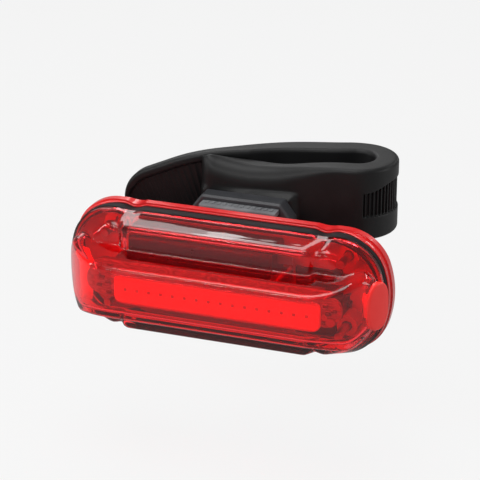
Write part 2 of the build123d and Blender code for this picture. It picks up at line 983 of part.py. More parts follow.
def loop_opening_plan(grow):
    """Leaf-shaped opening of the loop, seen from above."""
    return plan_hull(
        [
            (loop_opening_radius + grow, loop_x, loop_y),
            (opening_tip_radius + grow, opening_tip_x, opening_tip_y),
        ]
    )


def between_levels(face, z0, z1):
    """Plan face raised from z0 to z1."""
    return Pos(0, 0, z0) * extrude(face, z1 - z0)


def loop_axis_slope():
    """Slope of the line that parts the loop's front from its back."""
    return (loop_y - opening_tip_y) / (loop_x - opening_tip_x)


def behind_loop_axis(shift):
    """Large plan face behind the line through the opening, moved back by a shift."""
    x0 = saddle_end_x - 2 * loop_radius
    x1 = loop_x + 2 * loop_radius
    y0 = opening_tip_y + (x0 - opening_tip_x) * loop_axis_slope() + shift
    y1 = opening_tip_y + (x1 - opening_tip_x) * loop_axis_slope() + shift
    far = loop_y + plan_reach
    return make_face(Polyline((x0, y0), (x1, y1), (x1, far), (x0, far), (x0, y0)))


def right_of(x):
    """Large plan face to the right of x."""
    return Pos(x + plan_reach / 2, loop_y) * Rectangle(plan_reach, 2 * plan_reach)


def recess_plan(depth):
    """Outside band of the loop to a depth, where the web is set back between its rails."""
    return loop_outer_plan(overrun) - loop_outer_plan(-depth)


def loop_ribs():
    """Upright ribs in the recess, even steps round the loop's end."""
    count = int((rib_last_angle - rib_first_angle) / rib_pitch_angle) + 1
    radius = loop_radius - recess_depth
    ribs = None
    for i in range(count):
        angle = math.radians(rib_first_angle + i * rib_pitch_angle)
        x = loop_x + radius * math.cos(angle)
        y = loop_y + radius * math.sin(angle)
        rib = between_levels(
            Pos(x, y) * Circle(rib_radius), recess_bottom_z(), recess_top_z()
        )
        ribs = rib if ribs is None else ribs + rib
    return ribs


def recess_bottom_z():
    return strap_bottom_z + rail_height_of_strap


def recess_top_z():
    return strap_top_z - rail_height_of_strap


def recess_window():
    """Prism of the ribbed recess round the loop's right end."""
    start = math.radians(rib_first_angle - rib_pitch_angle)
    wedge = make_face(
        Polyline(
            (loop_x, loop_y),
            (loop_x + plan_reach * math.cos(start), loop_y + plan_reach * math.sin(start)),
            (loop_x + plan_reach, loop_y + plan_reach * math.sin(start)),
            (loop_x + plan_reach, loop_y + plan_reach),
            (loop_x, loop_y + plan_reach),
            (loop_x, loop_y),
        )
    )
    return between_levels(recess_plan(recess_depth) & wedge, recess_bottom_z(), recess_top_z())


def strap_ring():
    """The whole teardrop loop with rounded rims, before it is parted."""
    ring = between_levels(loop_outer_plan(0) - loop_opening_plan(0), strap_bottom_z, strap_top_z)
    levels = ring.faces().sort_by(Axis.Z)
    return fillet(levels[0].edges() + levels[-1].edges(), rim_radius)


def column(face):
    """Plan face raised past both rims of the strap."""
    return between_levels(face, strap_bottom_z - tail_width, strap_top_z + overrun)


def make_strap_bend():
    """Bend of the strap round the loop's right end, with its ribbed recess."""
    bend = strap_ring() & column(right_of(bend_start_x))
    return bend - recess_window() + loop_ribs()


def make_strap_back():
    """Back of the loop and the loose tail that leaves it at the left."""
    back = strap_ring() & column(behind_loop_axis(strap_split_gap) - right_of(bend_start_x))
    tail = between_levels(tail_plan(0), strap_bottom_z - tail_width, strap_top_z)
    tail = tail & tail_window(0)
    tail -= tail_recess()
    return back + tail + tail_ribs()


def tail_plan(grow):
    """Loose tail of the strap, seen from above."""
    return plan_hull(
        [
            (tail_root_radius + grow, tail_root_x, tail_root_y),
            (tail_tip_radius + grow, tail_tip_x, tail_tip_y),
        ]
    )


def tail_point(along, aside):
    """Plan point at a distance along the tail from its root and aside from its middle line."""
    run_x = tail_tip_x - tail_root_x
    run_y = tail_tip_y - tail_root_y
    run = math.hypot(run_x, run_y)
    return (
        tail_root_x + (run_x * along + run_y * aside) / run,
        tail_root_y + (run_y * along - run_x * aside) / run,
    )


def tail_length():
    return math.hypot(tail_tip_x - tail_root_x, tail_tip_y - tail_root_y)


def tail_front_strip(depth):
    """Plan strip on the tail's front side to a depth under its face."""
    face_at = -tail_tip_radius + depth
    start = tail_root_radius + tail_rail_width
    end = tail_length() + tail_root_radius
    return make_face(
        Polyline(
            tail_point(start, face_at),
            tail_point(end, face_at),
            tail_point(end, face_at - 2 * tail_root_radius),
            tail_point(start, face_at - 2 * tail_root_radius),
            tail_point(start, face_at),
        )
    )


def tail_recess():
    """Ribbed recess on the tail's front, inside its rails."""
    strip = between_levels(
        tail_front_strip(tail_recess_depth), strap_bottom_z - tail_width, strap_top_z
    )
    return strip & tail_window(tail_rail_width)


def tail_ribs():
    """Upright ribs in the tail's recess, even steps along it."""
    count = int((tail_length() - tail_rail_width) / tail_rib_pitch)
    ribs = None
    for i in range(count):
        x, y = tail_point(
            tail_root_radius + tail_rail_width + tail_rib_pitch * (i + 1 / 2),
            -tail_tip_radius + tail_recess_depth,
        )
        rib = column(Pos(x, y) * Circle(tail_rib_radius))
        ribs = rib if ribs is None else ribs + rib
    return ribs & tail_window(tail_rail_width)


def tail_window(shrink):
    """The tail seen from the front: a drooping band with a rounded end, cut through along Y."""
    long = 2 * (tail_reach - shrink)
    face = RectangleRounded(long, tail_width - 2 * shrink, tail_corner_radius - shrink)
    place = Pos(tail_root_x, strap_middle_z) * Rot(0, 0, tail_droop_angle)
    return extrude(front_plane(-plan_reach) * place * face, -(2 * plan_reach + bracket_back_y))


def front_line_angle():
    """Angle of the loop's straight front line against X, from its two end circles."""
    run_x = loop_x - saddle_end_x
    run_y = loop_y - saddle_end_y
    run = math.hypot(run_x, run_y)
    return math.atan2(run_y, run_x) - math.asin((loop_radius - saddle_end_radius) / run)


def saddle_bevel():
    """Wedge off the saddle's upper front edge, running out towards the bend."""
    angle = front_line_angle() - math.asin(saddle_bevel_depth / saddle_bevel_run)
    x = saddle_end_x - saddle_end_radius
    y = saddle_end_y - saddle_end_radius
    rise = saddle_bevel_height / saddle_bevel_depth
    wedge = make_face(
        Polyline(
            (0, strap_top_z - saddle_bevel_height),
            (saddle_bevel_depth + overrun / rise, strap_top_z + overrun),
            (-saddle_end_radius, strap_top_z + overrun),
            (-saddle_end_radius, strap_top_z - saddle_bevel_height),
            (0, strap_top_z - saddle_bevel_height),
        )
    )
    along = Pos(x, y, 0) * Rot(0, 0, math.degrees(angle))
    return along * extrude(Plane.YZ * wedge, saddle_bevel_run)


def make_strap_saddle():
    """Front of the loop with the flat pad that takes the bracket."""
    saddle = strap_ring() - column(right_of(bend_start_x)) - column(behind_loop_axis(0))
    saddle -= column(tail_plan(strap_split_gap))
    saddle -= saddle_bevel()
    pad = box_between(
        -saddle_pad_half_x, saddle_pad_half_x,
        bracket_back_y + seat_gap, saddle_end_y,
        saddle_bottom_z, saddle_pad_top_z,
    )
    pad = fillet(pad.edges().filter_by(Axis.Y), rim_radius)
    saddle += pad - column(loop_opening_plan(0)) - column(behind_loop_axis(0))
    for x in (-rivet_x, rivet_x):
        saddle -= Pos(x, 0, rivet_z) * rivet_form(fit_gap / 2)
    return saddle


node_makers = {
    "front_lens": make_front_lens,
    "seal_gasket": make_seal,
    "rear_housing": make_rear_housing,
    "housing_screws": make_housing_screws,
    "power_button": make_power_button,
    "switch_body": make_switch_body,
    "switch_stem": make_switch_stem,
    "light_board": make_light_board,
    "board_screws": make_board_screws,
    "light_strip": make_light_strip,
    "light_chips": make_light_chips,
    "solder_pads": make_solder_pads,
    "board_carrier": make_carrier,
    "battery_cell": make_battery,
    "battery_tabs": make_battery_tabs,
    "charge_board": make_charge_board,
    "charge_parts": make_charge_parts,
    "charge_socket": make_charge_socket,
    "port_cover": make_port_cover,
    "battery_leads": make_leads,
    "bracket_plate": make_bracket,
    "release_tab": make_release_tab,
    "bracket_rivets": make_rivets,
    "strap_saddle": make_strap_saddle,
    "strap_bend": make_strap_bend,
    "strap_back": make_strap_back,
}

os.makedirs("parts", exist_ok=True)
to_origin = Pos(-loop_x, -loop_y, -strap_middle_z)
for name, make in node_makers.items():
    export_step(to_origin * make(), f"parts/{name}.step")
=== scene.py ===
import math

import bmesh
import bpy
import numpy as np
from mathutils import Matrix, Vector


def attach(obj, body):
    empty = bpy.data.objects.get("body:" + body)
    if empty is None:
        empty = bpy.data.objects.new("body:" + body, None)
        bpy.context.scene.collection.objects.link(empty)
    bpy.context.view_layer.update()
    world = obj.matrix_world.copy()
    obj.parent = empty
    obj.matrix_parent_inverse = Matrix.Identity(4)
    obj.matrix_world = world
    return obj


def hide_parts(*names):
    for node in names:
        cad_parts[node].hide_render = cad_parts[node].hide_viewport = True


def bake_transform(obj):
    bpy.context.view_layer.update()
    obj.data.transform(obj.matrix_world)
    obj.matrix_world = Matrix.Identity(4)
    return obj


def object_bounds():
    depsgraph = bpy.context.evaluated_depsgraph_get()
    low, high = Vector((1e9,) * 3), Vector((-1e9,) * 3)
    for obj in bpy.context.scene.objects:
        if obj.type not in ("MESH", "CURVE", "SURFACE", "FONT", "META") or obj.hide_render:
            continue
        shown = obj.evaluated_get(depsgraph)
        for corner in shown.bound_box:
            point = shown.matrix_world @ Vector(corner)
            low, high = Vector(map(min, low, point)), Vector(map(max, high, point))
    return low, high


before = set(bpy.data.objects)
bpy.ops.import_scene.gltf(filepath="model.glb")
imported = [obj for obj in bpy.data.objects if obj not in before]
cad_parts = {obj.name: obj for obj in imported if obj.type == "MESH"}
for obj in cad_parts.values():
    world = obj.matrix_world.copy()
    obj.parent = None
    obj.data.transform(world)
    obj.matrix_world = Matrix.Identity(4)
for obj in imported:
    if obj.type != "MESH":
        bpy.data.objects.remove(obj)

CAD_BOX = [list(corner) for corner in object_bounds()]

# Pieces are worked out in millimetres with the lens rim in y = 0 and the light shining
# towards -y, then moved so that the centre of the strap's loop is the origin, in metres.
LOOP_CENTRE = np.array([19.8, 23.6, 13.45])
MM = 0.001

# Points nearer than this, in metres, are one; edges that turn more than this stay sharp
MERGE, SHARP_ANGLE = 2e-6, math.radians(50.0)

# Lens outline and forms, in millimetres
RIM_HALF_X, RIM_HALF_Z, RIM_CORNER_X = 33.25, 12.05, 24.0
SHOULDER_HALF_X, SHOULDER_HALF_Z, SHOULDER_CORNER_X = 27.2, 11.0, 20.5
END_ARC = 20.0
RIM_BAND = 1.2
SHOULDER_DEPTH = 6.0
WAIST_X, WAIST_HALF, WAIST_DEPTH = 20.2, 2.7, 0.6
PANEL_DEPTH, PANEL_ROOT = 7.0, 1.6
PANEL_HALF_X, PANEL_ROOT_HALF_X = 19.7, 22.3
PANEL_HALF_Z, PANEL_ROOT_HALF_Z = 11.1, 11.65
BAR_DEPTH, BAR_FLAT, BAR_END, BAR_POWER = 13.0, 18.4, 34.0, 2.5
BAR_CREASE_DEPTH, BAR_CREASE_Z, BAR_FRONT_Z = 7.0, 6.2, 4.2
BAR_LOW_DROP = 2.2
BAR_SLOT_HALF = 9.0
LENS_WALL = 1.4
SPINE_HALF = 19.0

# Roundings where the forms of the lens meet, in millimetres
SHOULDER_ROUND, PANEL_SIDE_ROUND, PANEL_EDGE_ROUND, PANEL_ROOT_ROUND = 1.1, 1.6, 0.7, 0.3
BAR_EDGE_ROUND, BAR_SLOT_ROUND, BAR_ROOT_ROUND = 0.7, 0.9, 0.25

# Search along a ray: times its stretch is halved, and its longest stretch in millimetres
HALVINGS = 26
OUTLINE_REACH, LENS_REACH = 40.0, 24.0

# Stations of the lens along a straight side and round an end, and rings from front to rim
LENS_STRAIGHT, LENS_TURN, LENS_RINGS = 96, 64, 104
TILTS_TRIED = 420
TURN_WEIGHT = 3.5
RING_STRAIGHT, RING_TURN = 120, 80

# Least value of a divisor
TINY = 1e-6

# Strap, in millimetres
LOOP_RADIUS, OPENING_RADIUS = 8.6, 3.7
SADDLE_END, SADDLE_END_RADIUS = np.array([-7.4, 15.4]), 3.2
OPENING_TIP, OPENING_TIP_RADIUS = np.array([-1.5, 16.8]), 0.35
STRAP_LOW, STRAP_HIGH = 5.1, 20.3
ARM_BOW, ARM_BOW_START = 2.5, -15.0
SADDLE_SAG, SADDLE_SAG_START, SADDLE_SAG_LEFTWARD = 1.6, -9.0, 0.65
SPLIT_GAP = 0.3
ARM_FADE_START, ARM_FADE_END = -2.0, 9.0
FRONT_BLEND, TAIL_FRONT_BLEND, TAIL_BACK_BLEND = 0.2, 0.4, 1.2
BEVEL_HEIGHT, BEVEL_DEPTH, BEVEL_FADE, BEVEL_END = 2.6, 2.2, 4.0, 0.5
NOSE_SHARE, NOSE_LENGTH, NOSE_JOIN, NOSE_FALL, NOSE_FALL_LENGTH = 0.93, 2.2, 2.3, 0.5, 2.0
BEND_X = 19.9
RIM_ROUND = 0.85
RECESS_LOW, RECESS_HIGH, RECESS_GROWTH, RECESS_DEPTH = 10.0, 15.2, 1.7, 0.85
RECESS_SOFT, RECESS_MIDDLE, RECESS_SWING = 0.25, 0.72, 0.38
TAIL_ROOT, TAIL_TIP, TAIL_HALF = np.array([-6.2, 17.0]), np.array([-25.2, 12.4]), 1.6
TAIL_RIM, TAIL_DROOP = 1.7, math.radians(22.0)
TAIL_START, TAIL_LENGTH, TAIL_TURN, TIP_LENGTH = 22.0, 45.6, 6.4, 0.75
TAIL_DROOP_START, TAIL_DROOP_END, TAIL_RIB, TAIL_RECESS, TAIL_RIB_HEIGHT = 26.0, 35.0, 1.0, 0.75, 0.12
PAD_HALF_X, PAD_FRONT, PAD_LOW, PAD_HIGH = 9.4, 12.2, 3.2, 14.0
PAD_SIDE_REACH, PAD_SIDE_SOFT, PAD_TOP_REACH, PAD_TOP_SOFT = 1.6, 2.2, 0.6, 1.6
PAD_LOW_REACH, PAD_LOW_SOFT = 0.6, 1.0
TAIL_LEAST_HALF, TAIL_RIM_SOFT, TAIL_FADE, TAIL_RIB_FLOOR = 0.45, 0.3, 1.0, 0.2
LEAST_THICKNESS, EDGE_SHARE = 0.05, 0.45

# Ribs of the bend in degrees round the loop: first, last and step, where their recess begins and is
# full beyond them, and how far its height grows; then the steepness and floor of a rib's wave
RIB_FIRST, RIB_LAST, RIB_STEP = -60.0, 84.0, 6.2
RECESS_ENDS, RECESS_FULL, RECESS_GROWTH_TURN = 4.0, 2.6, 50.0
RIB_STEEPNESS, RIB_FLOOR = 1.6, -0.6

# Points of a strap section: per corner, across its top and up its front, every how many of those
# its back has, and up the front of the bend; then stations along each piece of the strap
CORNER_POINTS, TOP_POINTS, WALL_POINTS, BACK_WALL_STEP, BEND_WALL_POINTS = 8, 5, 56, 3, 90
NOSE_STATIONS, SADDLE_STATIONS, BEND_STATIONS, CURVE_POINTS = 26, 150, 420, 600
BACK_STATIONS, BACK_GAP, TAIL_STATIONS, TIP_STATIONS, TIP_FIRST_TURN = 60, 0.2, 200, 14, 0.08

# Room under the light for its motions, in millimetres
FLOOR_DROP = 26.0

# Share of the floor's white that shows in glossy surfaces
FLOOR_IN_REFLECTIONS = 0.3

# Share of the floor that is plain white where it is seen, its own shade, and its reach in metres
FLOOR_WHITE_SHARE, FLOOR_SHADE, FLOOR_REACH = 0.86, (0.35, 0.35, 0.35, 1.0), 4.0

# Camera: its angles, its distance and its aim in millimetres from the lens's middle, its lens
CAMERA_AZIMUTH, CAMERA_ELEVATION, CAMERA_DISTANCE = math.radians(20.0), math.radians(22.5), 400.0
CAMERA_SHIFT_RIGHT, CAMERA_SHIFT_UP = 2.9, 7.55
CAMERA_LENS, CAMERA_SENSOR = 150.0, 36.0

# Lamps: place, width and height in millimetres, and radiance; all aim at the light's middle
LAMP_AIM = (0, 6, 5)
LAMPS = {
    "softbox_top": ((-30, -20, 340), 260, 200, 5.0),
    "strip_front": ((-60, -260, 190), 300, 20, 26.0),
    "strip_left": ((-260, -120, 120), 20, 220, 18.0),
    "card_back_left": ((-220, 280, 235), 190, 120, 3.0),
    "card_back": ((-110, 340, 235), 90, 110, 3.0),
    "card_back_right": ((190, 320, 200), 140, 50, 6.0),
    "card_right": ((300, 70, 60), 120, 160, 3.5),
}
SURROUND_STRENGTH = 0.32

# Seal, strip, chips and button, in millimetres
SEAL_HALF_X, SEAL_HALF_Z, SEAL_WALL, SEAL_WIDTH = 33.4, 12.2, 1.1, 2.6
LIP_HALF_X, LIP_HALF_Z, LIP_WALL, LIP_BACK = 33.7, 12.45, 0.45, 3.0
LIP_FRONT, LIP_GROWTH, LIP_GROWTH_FROM, LIP_GROWTH_TO = 2.5, 1.3, 22.0, 29.0
STRIP_LEFT, STRIP_RIGHT, STRIP_LOW, STRIP_TOP = -20.2, 22.7, -4.4, 2.0
BOARD_FRONT, STRIP_FRONT = -8.4, -9.2
CHIP_COUNT, CHIP_HALF, CHIP_SUNK, CHIP_PROUD = 16, 0.32, 0.1, 0.06
PART_HALF_X, PART_HALF_Z, PART_HEIGHT = 0.5, 0.28, 0.4
PART_PLACES = [
    (-21.3, 2.5), (-22.9, 0.6), (-21.7, -0.4), (-23.5, -1.2), (-21.5, -2.5),
    (23.6, 1.2), (25.2, 0.4), (24.1, -0.3), (23.5, -2.3),
]
TONGUE_CENTRE_Y, TONGUE_CENTRE_Z, TONGUE_HALF_Y, TONGUE_HALF_Z = -5.2, -1.2, 2.9, 5.0
TONGUE_DEPTH, TONGUE_BEHIND_LENS = 2.0, 1.95
STRIP_EDGE, ON_BOARD, CHIP_EDGE, PART_EDGE, TONGUE_EDGE, TONGUE_CROWN = 0.5, 0.02, 0.04, 0.06, 0.5, 0.1
BUTTON_CENTRE_Y, BUTTON_HALF_Y, BUTTON_HALF_Z, BUTTON_PROUD = -2.9, 2.45, 5.1, 0.45
BUTTON_DEPTH, BUTTON_NECK_LOW, BUTTON_NECK_HIGH, WINDOW_MARGIN = 3.2, -1.2, -0.6, 0.35
BUTTON_EDGE, BUTTON_CROWN, BUTTON_NECK_SHARE = 0.5, 0.12, 0.5
BAR_LEAST_SHARE = 0.02

# Radius and points of an oblong's corners; those of the seal and the lip are shares of their width
SEAL_CORNER, LIP_CORNER, STRIP_CORNER = (0.14, 4), (0.3, 5), (1.6, 10)
CHIP_CORNER, PART_CORNER = (0.14, 4), (0.08, 3)

# Power of an oval, below 1 is fuller than an ellipse; its points; rings up a raised form
OVAL_POWER, BUTTON_POINTS, TONGUE_POINTS = 0.88, 64, 48
EDGE_RINGS, SIDE_RINGS, FACE_RINGS = 7, 8, 10

# Lens moulding: grain of its waves, roughness and colour and height of the waves, all in metres,
# refractive index, and share of cloud in it; drift of any grained finish in times its grain
LENS_WAVE, LENS_FINE, LENS_DRIFT, LENS_WAVE_HEIGHT = 0.006, 0.0009, 0.02, 0.00004
LENS_IOR, LENS_CLOUD = 1.49, 0.022
DRIFT_GRAIN = 24


# Meshes in general

def sheet_faces(rows, columns, first=0, ring=False):
    """Quads of a grid of points stored row by row; ring joins the last column to the first."""
    row = np.arange(rows - 1)[:, None] * columns
    column = np.arange(columns if ring else columns - 1)[None, :]
    following = (column + 1) % columns
    corners = [row + column, row + following, row + columns + following, row + columns + column]
    return np.stack(corners, -1).reshape(-1, 4) + first


def make_piece(name, points, faces, material):
    """Mesh object from points in millimetres, doubles merged, faces turned outwards and smooth."""
    mesh = bpy.data.meshes.new(name)
    mesh.from_pydata(((points - LOOP_CENTRE) * MM).tolist(), [], [list(map(int, f)) for f in faces])
    work = bmesh.new()
    work.from_mesh(mesh)
    bmesh.ops.remove_doubles(work, verts=work.verts, dist=MERGE)
    bmesh.ops.dissolve_degenerate(work, edges=work.edges, dist=MERGE / 4)
    bmesh.ops.recalc_face_normals(work, faces=work.faces)
    for face in work.faces:
        face.smooth = True
    work.to_mesh(mesh)
    work.free()
    mesh.set_sharp_from_angle(angle=SHARP_ANGLE)
    mesh.materials.append(material)
    piece = bpy.data.objects.new(name, mesh)
    bpy.context.scene.collection.objects.link(piece)
    return piece


def soft_max(a, b, width):
    """Larger of two values, rounded where they are within a width of each other."""
    return np.maximum(a, b) + np.maximum(width - np.abs(a - b), 0) ** 2 / (4 * width)


def soft_min(a, b, width):
    """Smaller of two values, rounded in the same way."""
    return -soft_max(-a, -b, width)


def hump(x, start, end):
    """Squared sine from start to end: 0 at both, 1 in the middle."""
    return np.sin(np.pi * np.clip((x - start) / (end - start), 0, 1)) ** 2


def soft_step(x, low, high):
    """0 below low, 1 above high, a smooth S between."""
    t = np.clip((x - low) / (high - low), 0, 1)
    return t * t * (3 - 2 * t)


# Lens: where a ray from the spine leaves the union of shoulder, panel and bar

def outline_level(x, z, half_x, half_z, corner_x):
    """Distance outside a long outline: flat top and bottom, corner arc, and end arc of one radius."""
    to_end = half_x - END_ARC - corner_x
    corner = (END_ARC**2 - to_end**2 - half_z**2) / (2 * (END_ARC - half_z))
    beside, above = np.abs(x) - corner_x, np.abs(z) - (half_z - corner)
    lean = (half_z - corner) / np.maximum(corner_x - half_x + END_ARC, TINY)
    in_corner = (beside > 0) & (above > lean * beside)
    flat = np.abs(z) - half_z
    end = np.hypot(np.abs(x) - half_x + END_ARC, z) - END_ARC
    return np.where(beside <= 0, flat, np.where(in_corner, np.hypot(beside, above) - corner, end))


def dipped_level(x, z, half_x, half_z, corner_x):
    """Outline level with a shallow dip at each waist: a raised cosine of the way along x."""
    near = np.clip((np.abs(x) - WAIST_X) / WAIST_HALF, -1, 1)
    dip = WAIST_DEPTH * (1 + np.cos(np.pi * near)) / 2
    return outline_level(x, np.abs(z) + dip * (np.abs(z) > half_z / 2), half_x, half_z, corner_x)


def shoulder_level(x, depth, z, wall):
    """Outline that slopes in from the rim band to the shoulders, with four shallow dips."""
    t = np.clip((depth - RIM_BAND) / (SHOULDER_DEPTH - RIM_BAND), 0, 1)
    half_x = RIM_HALF_X + (SHOULDER_HALF_X - RIM_HALF_X) * t - wall
    half_z = RIM_HALF_Z + (SHOULDER_HALF_Z - RIM_HALF_Z) * t - wall
    corner_x = RIM_CORNER_X + (SHOULDER_CORNER_X - RIM_CORNER_X) * t - wall / 2
    side = dipped_level(x, z, half_x, half_z, corner_x)
    return soft_max(side, depth - SHOULDER_DEPTH + wall, SHOULDER_ROUND)


def panel_level(x, depth, z, wall):
    """Middle panel: a flat-topped block whose four walls slope out towards its root."""
    t = (depth - PANEL_ROOT) / (PANEL_DEPTH - PANEL_ROOT)
    half_x = PANEL_ROOT_HALF_X + (PANEL_HALF_X - PANEL_ROOT_HALF_X) * t - wall
    half_z = PANEL_ROOT_HALF_Z + (PANEL_HALF_Z - PANEL_ROOT_HALF_Z) * t - wall
    side = soft_max(np.abs(x) - half_x, np.abs(z) - half_z, PANEL_SIDE_ROUND)
    return soft_max(side, depth - PANEL_DEPTH + wall, PANEL_EDGE_ROUND)


def bar_level(x, depth, z, wall):
    """Bar: plan falls as a power of the way to its end, sides lean in, ends follow a round slot."""
    way = np.clip((np.abs(x) - BAR_FLAT) / (BAR_END - BAR_FLAT), 0, None)
    slope = BAR_DEPTH * BAR_POWER * way ** (BAR_POWER - 1) / (BAR_END - BAR_FLAT)
    front = depth - BAR_DEPTH * (1 - way**BAR_POWER) + wall * np.hypot(1, slope)
    front = front / np.hypot(1, slope)
    lean = (BAR_CREASE_Z - BAR_FRONT_Z) / (BAR_DEPTH - BAR_CREASE_DEPTH)
    low = BAR_LOW_DROP * (z < 0)
    side = np.abs(z) - low - BAR_CREASE_Z - (BAR_CREASE_DEPTH - depth) * lean + wall * math.hypot(1, lean)
    slot = np.hypot(np.maximum(np.abs(x) - RIM_HALF_X + BAR_SLOT_HALF, 0), z) - BAR_SLOT_HALF + wall
    return soft_max(soft_max(front, side, BAR_EDGE_ROUND), slot, BAR_SLOT_ROUND)


def lens_level(x, depth, z, wall):
    """Below zero inside the lens's outer form, drawn in by a wall."""
    shoulder, panel = shoulder_level(x, depth, z, wall), panel_level(x, depth, z, wall)
    return soft_min(soft_min(shoulder, panel, PANEL_ROOT_ROUND), bar_level(x, depth, z, wall), BAR_ROOT_ROUND)


def spine_stations(straight, turn):
    """Start on the spine and direction in the rim's plane, once round the outline."""
    run = np.linspace(-SPINE_HALF, SPINE_HALF, straight, endpoint=False)
    fan = np.linspace(np.pi / 2, -np.pi / 2, turn, endpoint=False)
    start = np.concatenate([run, np.full(turn, SPINE_HALF), -run, np.full(turn, -SPINE_HALF)])
    angle = np.concatenate([np.full(straight, np.pi / 2), fan, np.full(straight, -np.pi / 2), fan - np.pi])
    return start, np.cos(angle), np.sin(angle)


def outline_ring(half_x, half_z, corner_x, straight, turn):
    """Points once round an outline with its four dips, by halving along rays from the spine."""
    start, across, up = spine_stations(straight, turn)
    low, high = np.zeros(len(start)), np.full(len(start), OUTLINE_REACH)
    for _ in range(HALVINGS):
        middle = (low + high) / 2
        level = dipped_level(start + middle * across, middle * up, half_x, half_z, corner_x)
        low, high = np.where(level < 0, middle, low), np.where(level < 0, high, middle)
    return start + low * across, low * up


def lens_reach(start, across, up, tilt, wall):
    """Length of the ray from the spine to the form's surface, by halving."""
    shape = np.broadcast(start, tilt).shape
    low, high = np.zeros(shape), np.full(shape, LENS_REACH)
    for _ in range(HALVINGS):
        middle = (low + high) / 2
        side = middle * np.sin(tilt)
        level = lens_level(start + side * across, middle * np.cos(tilt), side * up, wall)
        low, high = np.where(level < 0, middle, low), np.where(level < 0, high, middle)
    return (low + high) / 2


def lens_shell(straight, turn, rings, wall):
    """Grid of surface points from the front line to the rim, closer together where the surface turns."""
    start, across, up = (a[:, None] for a in spine_stations(straight, turn))
    tilt = np.linspace(0, np.pi / 2, TILTS_TRIED)[None, :]
    reach = lens_reach(start, across, up, tilt, wall)
    side, depth = reach * np.sin(tilt), reach * np.cos(tilt)
    step = np.stack([np.diff(side, axis=1), np.diff(depth, axis=1)], -1)
    length = np.linalg.norm(step, axis=-1)
    heading = np.unwrap(np.arctan2(step[..., 1], step[..., 0]), axis=1)
    turned = np.abs(np.diff(heading, axis=1, prepend=heading[:, :1]))
    # a ring's share of the way counts its length in millimetres and its turn in radians
    cost = np.cumsum(length + TURN_WEIGHT * turned, axis=1)
    cost = np.concatenate([np.zeros((len(start), 1)), cost], axis=1)
    cost /= cost[:, -1:]
    wanted = np.linspace(0, 1, rings)
    own = np.stack([np.interp(wanted, row, tilt[0]) for row in cost])
    reach = lens_reach(start, across, up, own, wall)
    side, depth = reach * np.sin(own), reach * np.cos(own)
    return np.stack([start + side * across, -depth, side * up], -1)


def make_lens(material):
    """Outer and inner surfaces joined by a flat rim in y = 0, with the button's oval window cut out."""
    outer = lens_shell(LENS_STRAIGHT, LENS_TURN, LENS_RINGS, 0.0)
    inner = lens_shell(LENS_STRAIGHT, LENS_TURN, LENS_RINGS // 2, LENS_WALL)
    stations = len(outer)
    outer = np.concatenate([outer, outer[:1]])
    inner = np.concatenate([inner, inner[:1]])
    rim = np.stack([outer[:, -1], inner[:, -1]], 1)
    blocks, faces, first = [outer, inner, rim], [], 0
    for block in blocks:
        faces.append(sheet_faces(stations + 1, block.shape[1], first))
        first += block.shape[0] * block.shape[1]
    points = np.concatenate([b.reshape(-1, 3) for b in blocks])
    faces = np.concatenate(faces)
    middle = points[faces].mean(1)
    across = (middle[:, 1] - BUTTON_CENTRE_Y) / (BUTTON_HALF_Y - WINDOW_MARGIN)
    up = middle[:, 2] / (BUTTON_HALF_Z - WINDOW_MARGIN)
    window = (middle[:, 0] > SHOULDER_HALF_X) & (across**2 + up**2 < 1)
    return make_piece("lens_shell", points, faces[~window], material)


def rim_ring(name, half_x, half_z, wall, corner_shift, corner, front, back, material):
    """Closed ring round the light: a unit oblong carried between an outer and an inner outline.
    front gives the y of its front edge for a place along x, back is the y of its back edge."""
    count = (RING_STRAIGHT, RING_TURN)
    outer = np.stack(outline_ring(half_x, half_z, RIM_CORNER_X, *count), -1)
    inner = np.stack(outline_ring(half_x - wall, half_z - wall, RIM_CORNER_X - corner_shift, *count), -1)
    inwards, along = oblong(0.5, 0.5, *corner)
    plan = outer[:, None] + (inner - outer)[:, None] * (inwards + 0.5)[None, :, None]
    y = back + (front(outer[:, :1]) - back) * (0.5 - along)
    rings = np.stack([plan[..., 0], y, plan[..., 1]], -1)
    rings = np.concatenate([rings, rings[:1]])
    faces = sheet_faces(len(rings), rings.shape[1], ring=True)
    return make_piece(name, rings.reshape(-1, 3), faces, material)


def make_seal(material):
    """Ring of rubber between lens and housing, a round-edged oblong in section."""
    return rim_ring(
        "seal_ring", SEAL_HALF_X, SEAL_HALF_Z, SEAL_WALL, SEAL_WALL / 2,
        SEAL_CORNER, np.zeros_like, SEAL_WIDTH, material,
    )


def lip_front(x):
    """Front edge of the housing's lip: drawn forward by a smooth step towards both ends."""
    return LIP_FRONT - LIP_GROWTH * soft_step(np.abs(x), LIP_GROWTH_FROM, LIP_GROWTH_TO)


def make_lip(material):
    """Edge of the housing round the seal."""
    return rim_ring(
        "housing_lip", LIP_HALF_X, LIP_HALF_Z, LIP_WALL, 0.0, LIP_CORNER, lip_front, LIP_BACK, material
    )


def oblong(half_a, half_b, corner, count):
    """Outline of a rounded oblong: four quarter arcs of count points each."""
    turn = np.concatenate([np.linspace(0, np.pi / 2, count) + k * np.pi / 2 for k in range(4)])
    side_a, side_b = np.repeat([1, -1, -1, 1], count), np.repeat([1, 1, -1, -1], count)
    a = side_a * (half_a - corner) + corner * np.cos(turn)
    return a, side_b * (half_b - corner) + corner * np.sin(turn)


def oval(half_a, half_b, count):
    """Outline of an oval a little fuller than an ellipse."""
    turn = np.linspace(0, 2 * np.pi, count, endpoint=False)
    a, b = np.cos(turn), np.sin(turn)
    return half_a * np.sign(a) * np.abs(a) ** OVAL_POWER, half_b * np.sign(b) * np.abs(b) ** OVAL_POWER


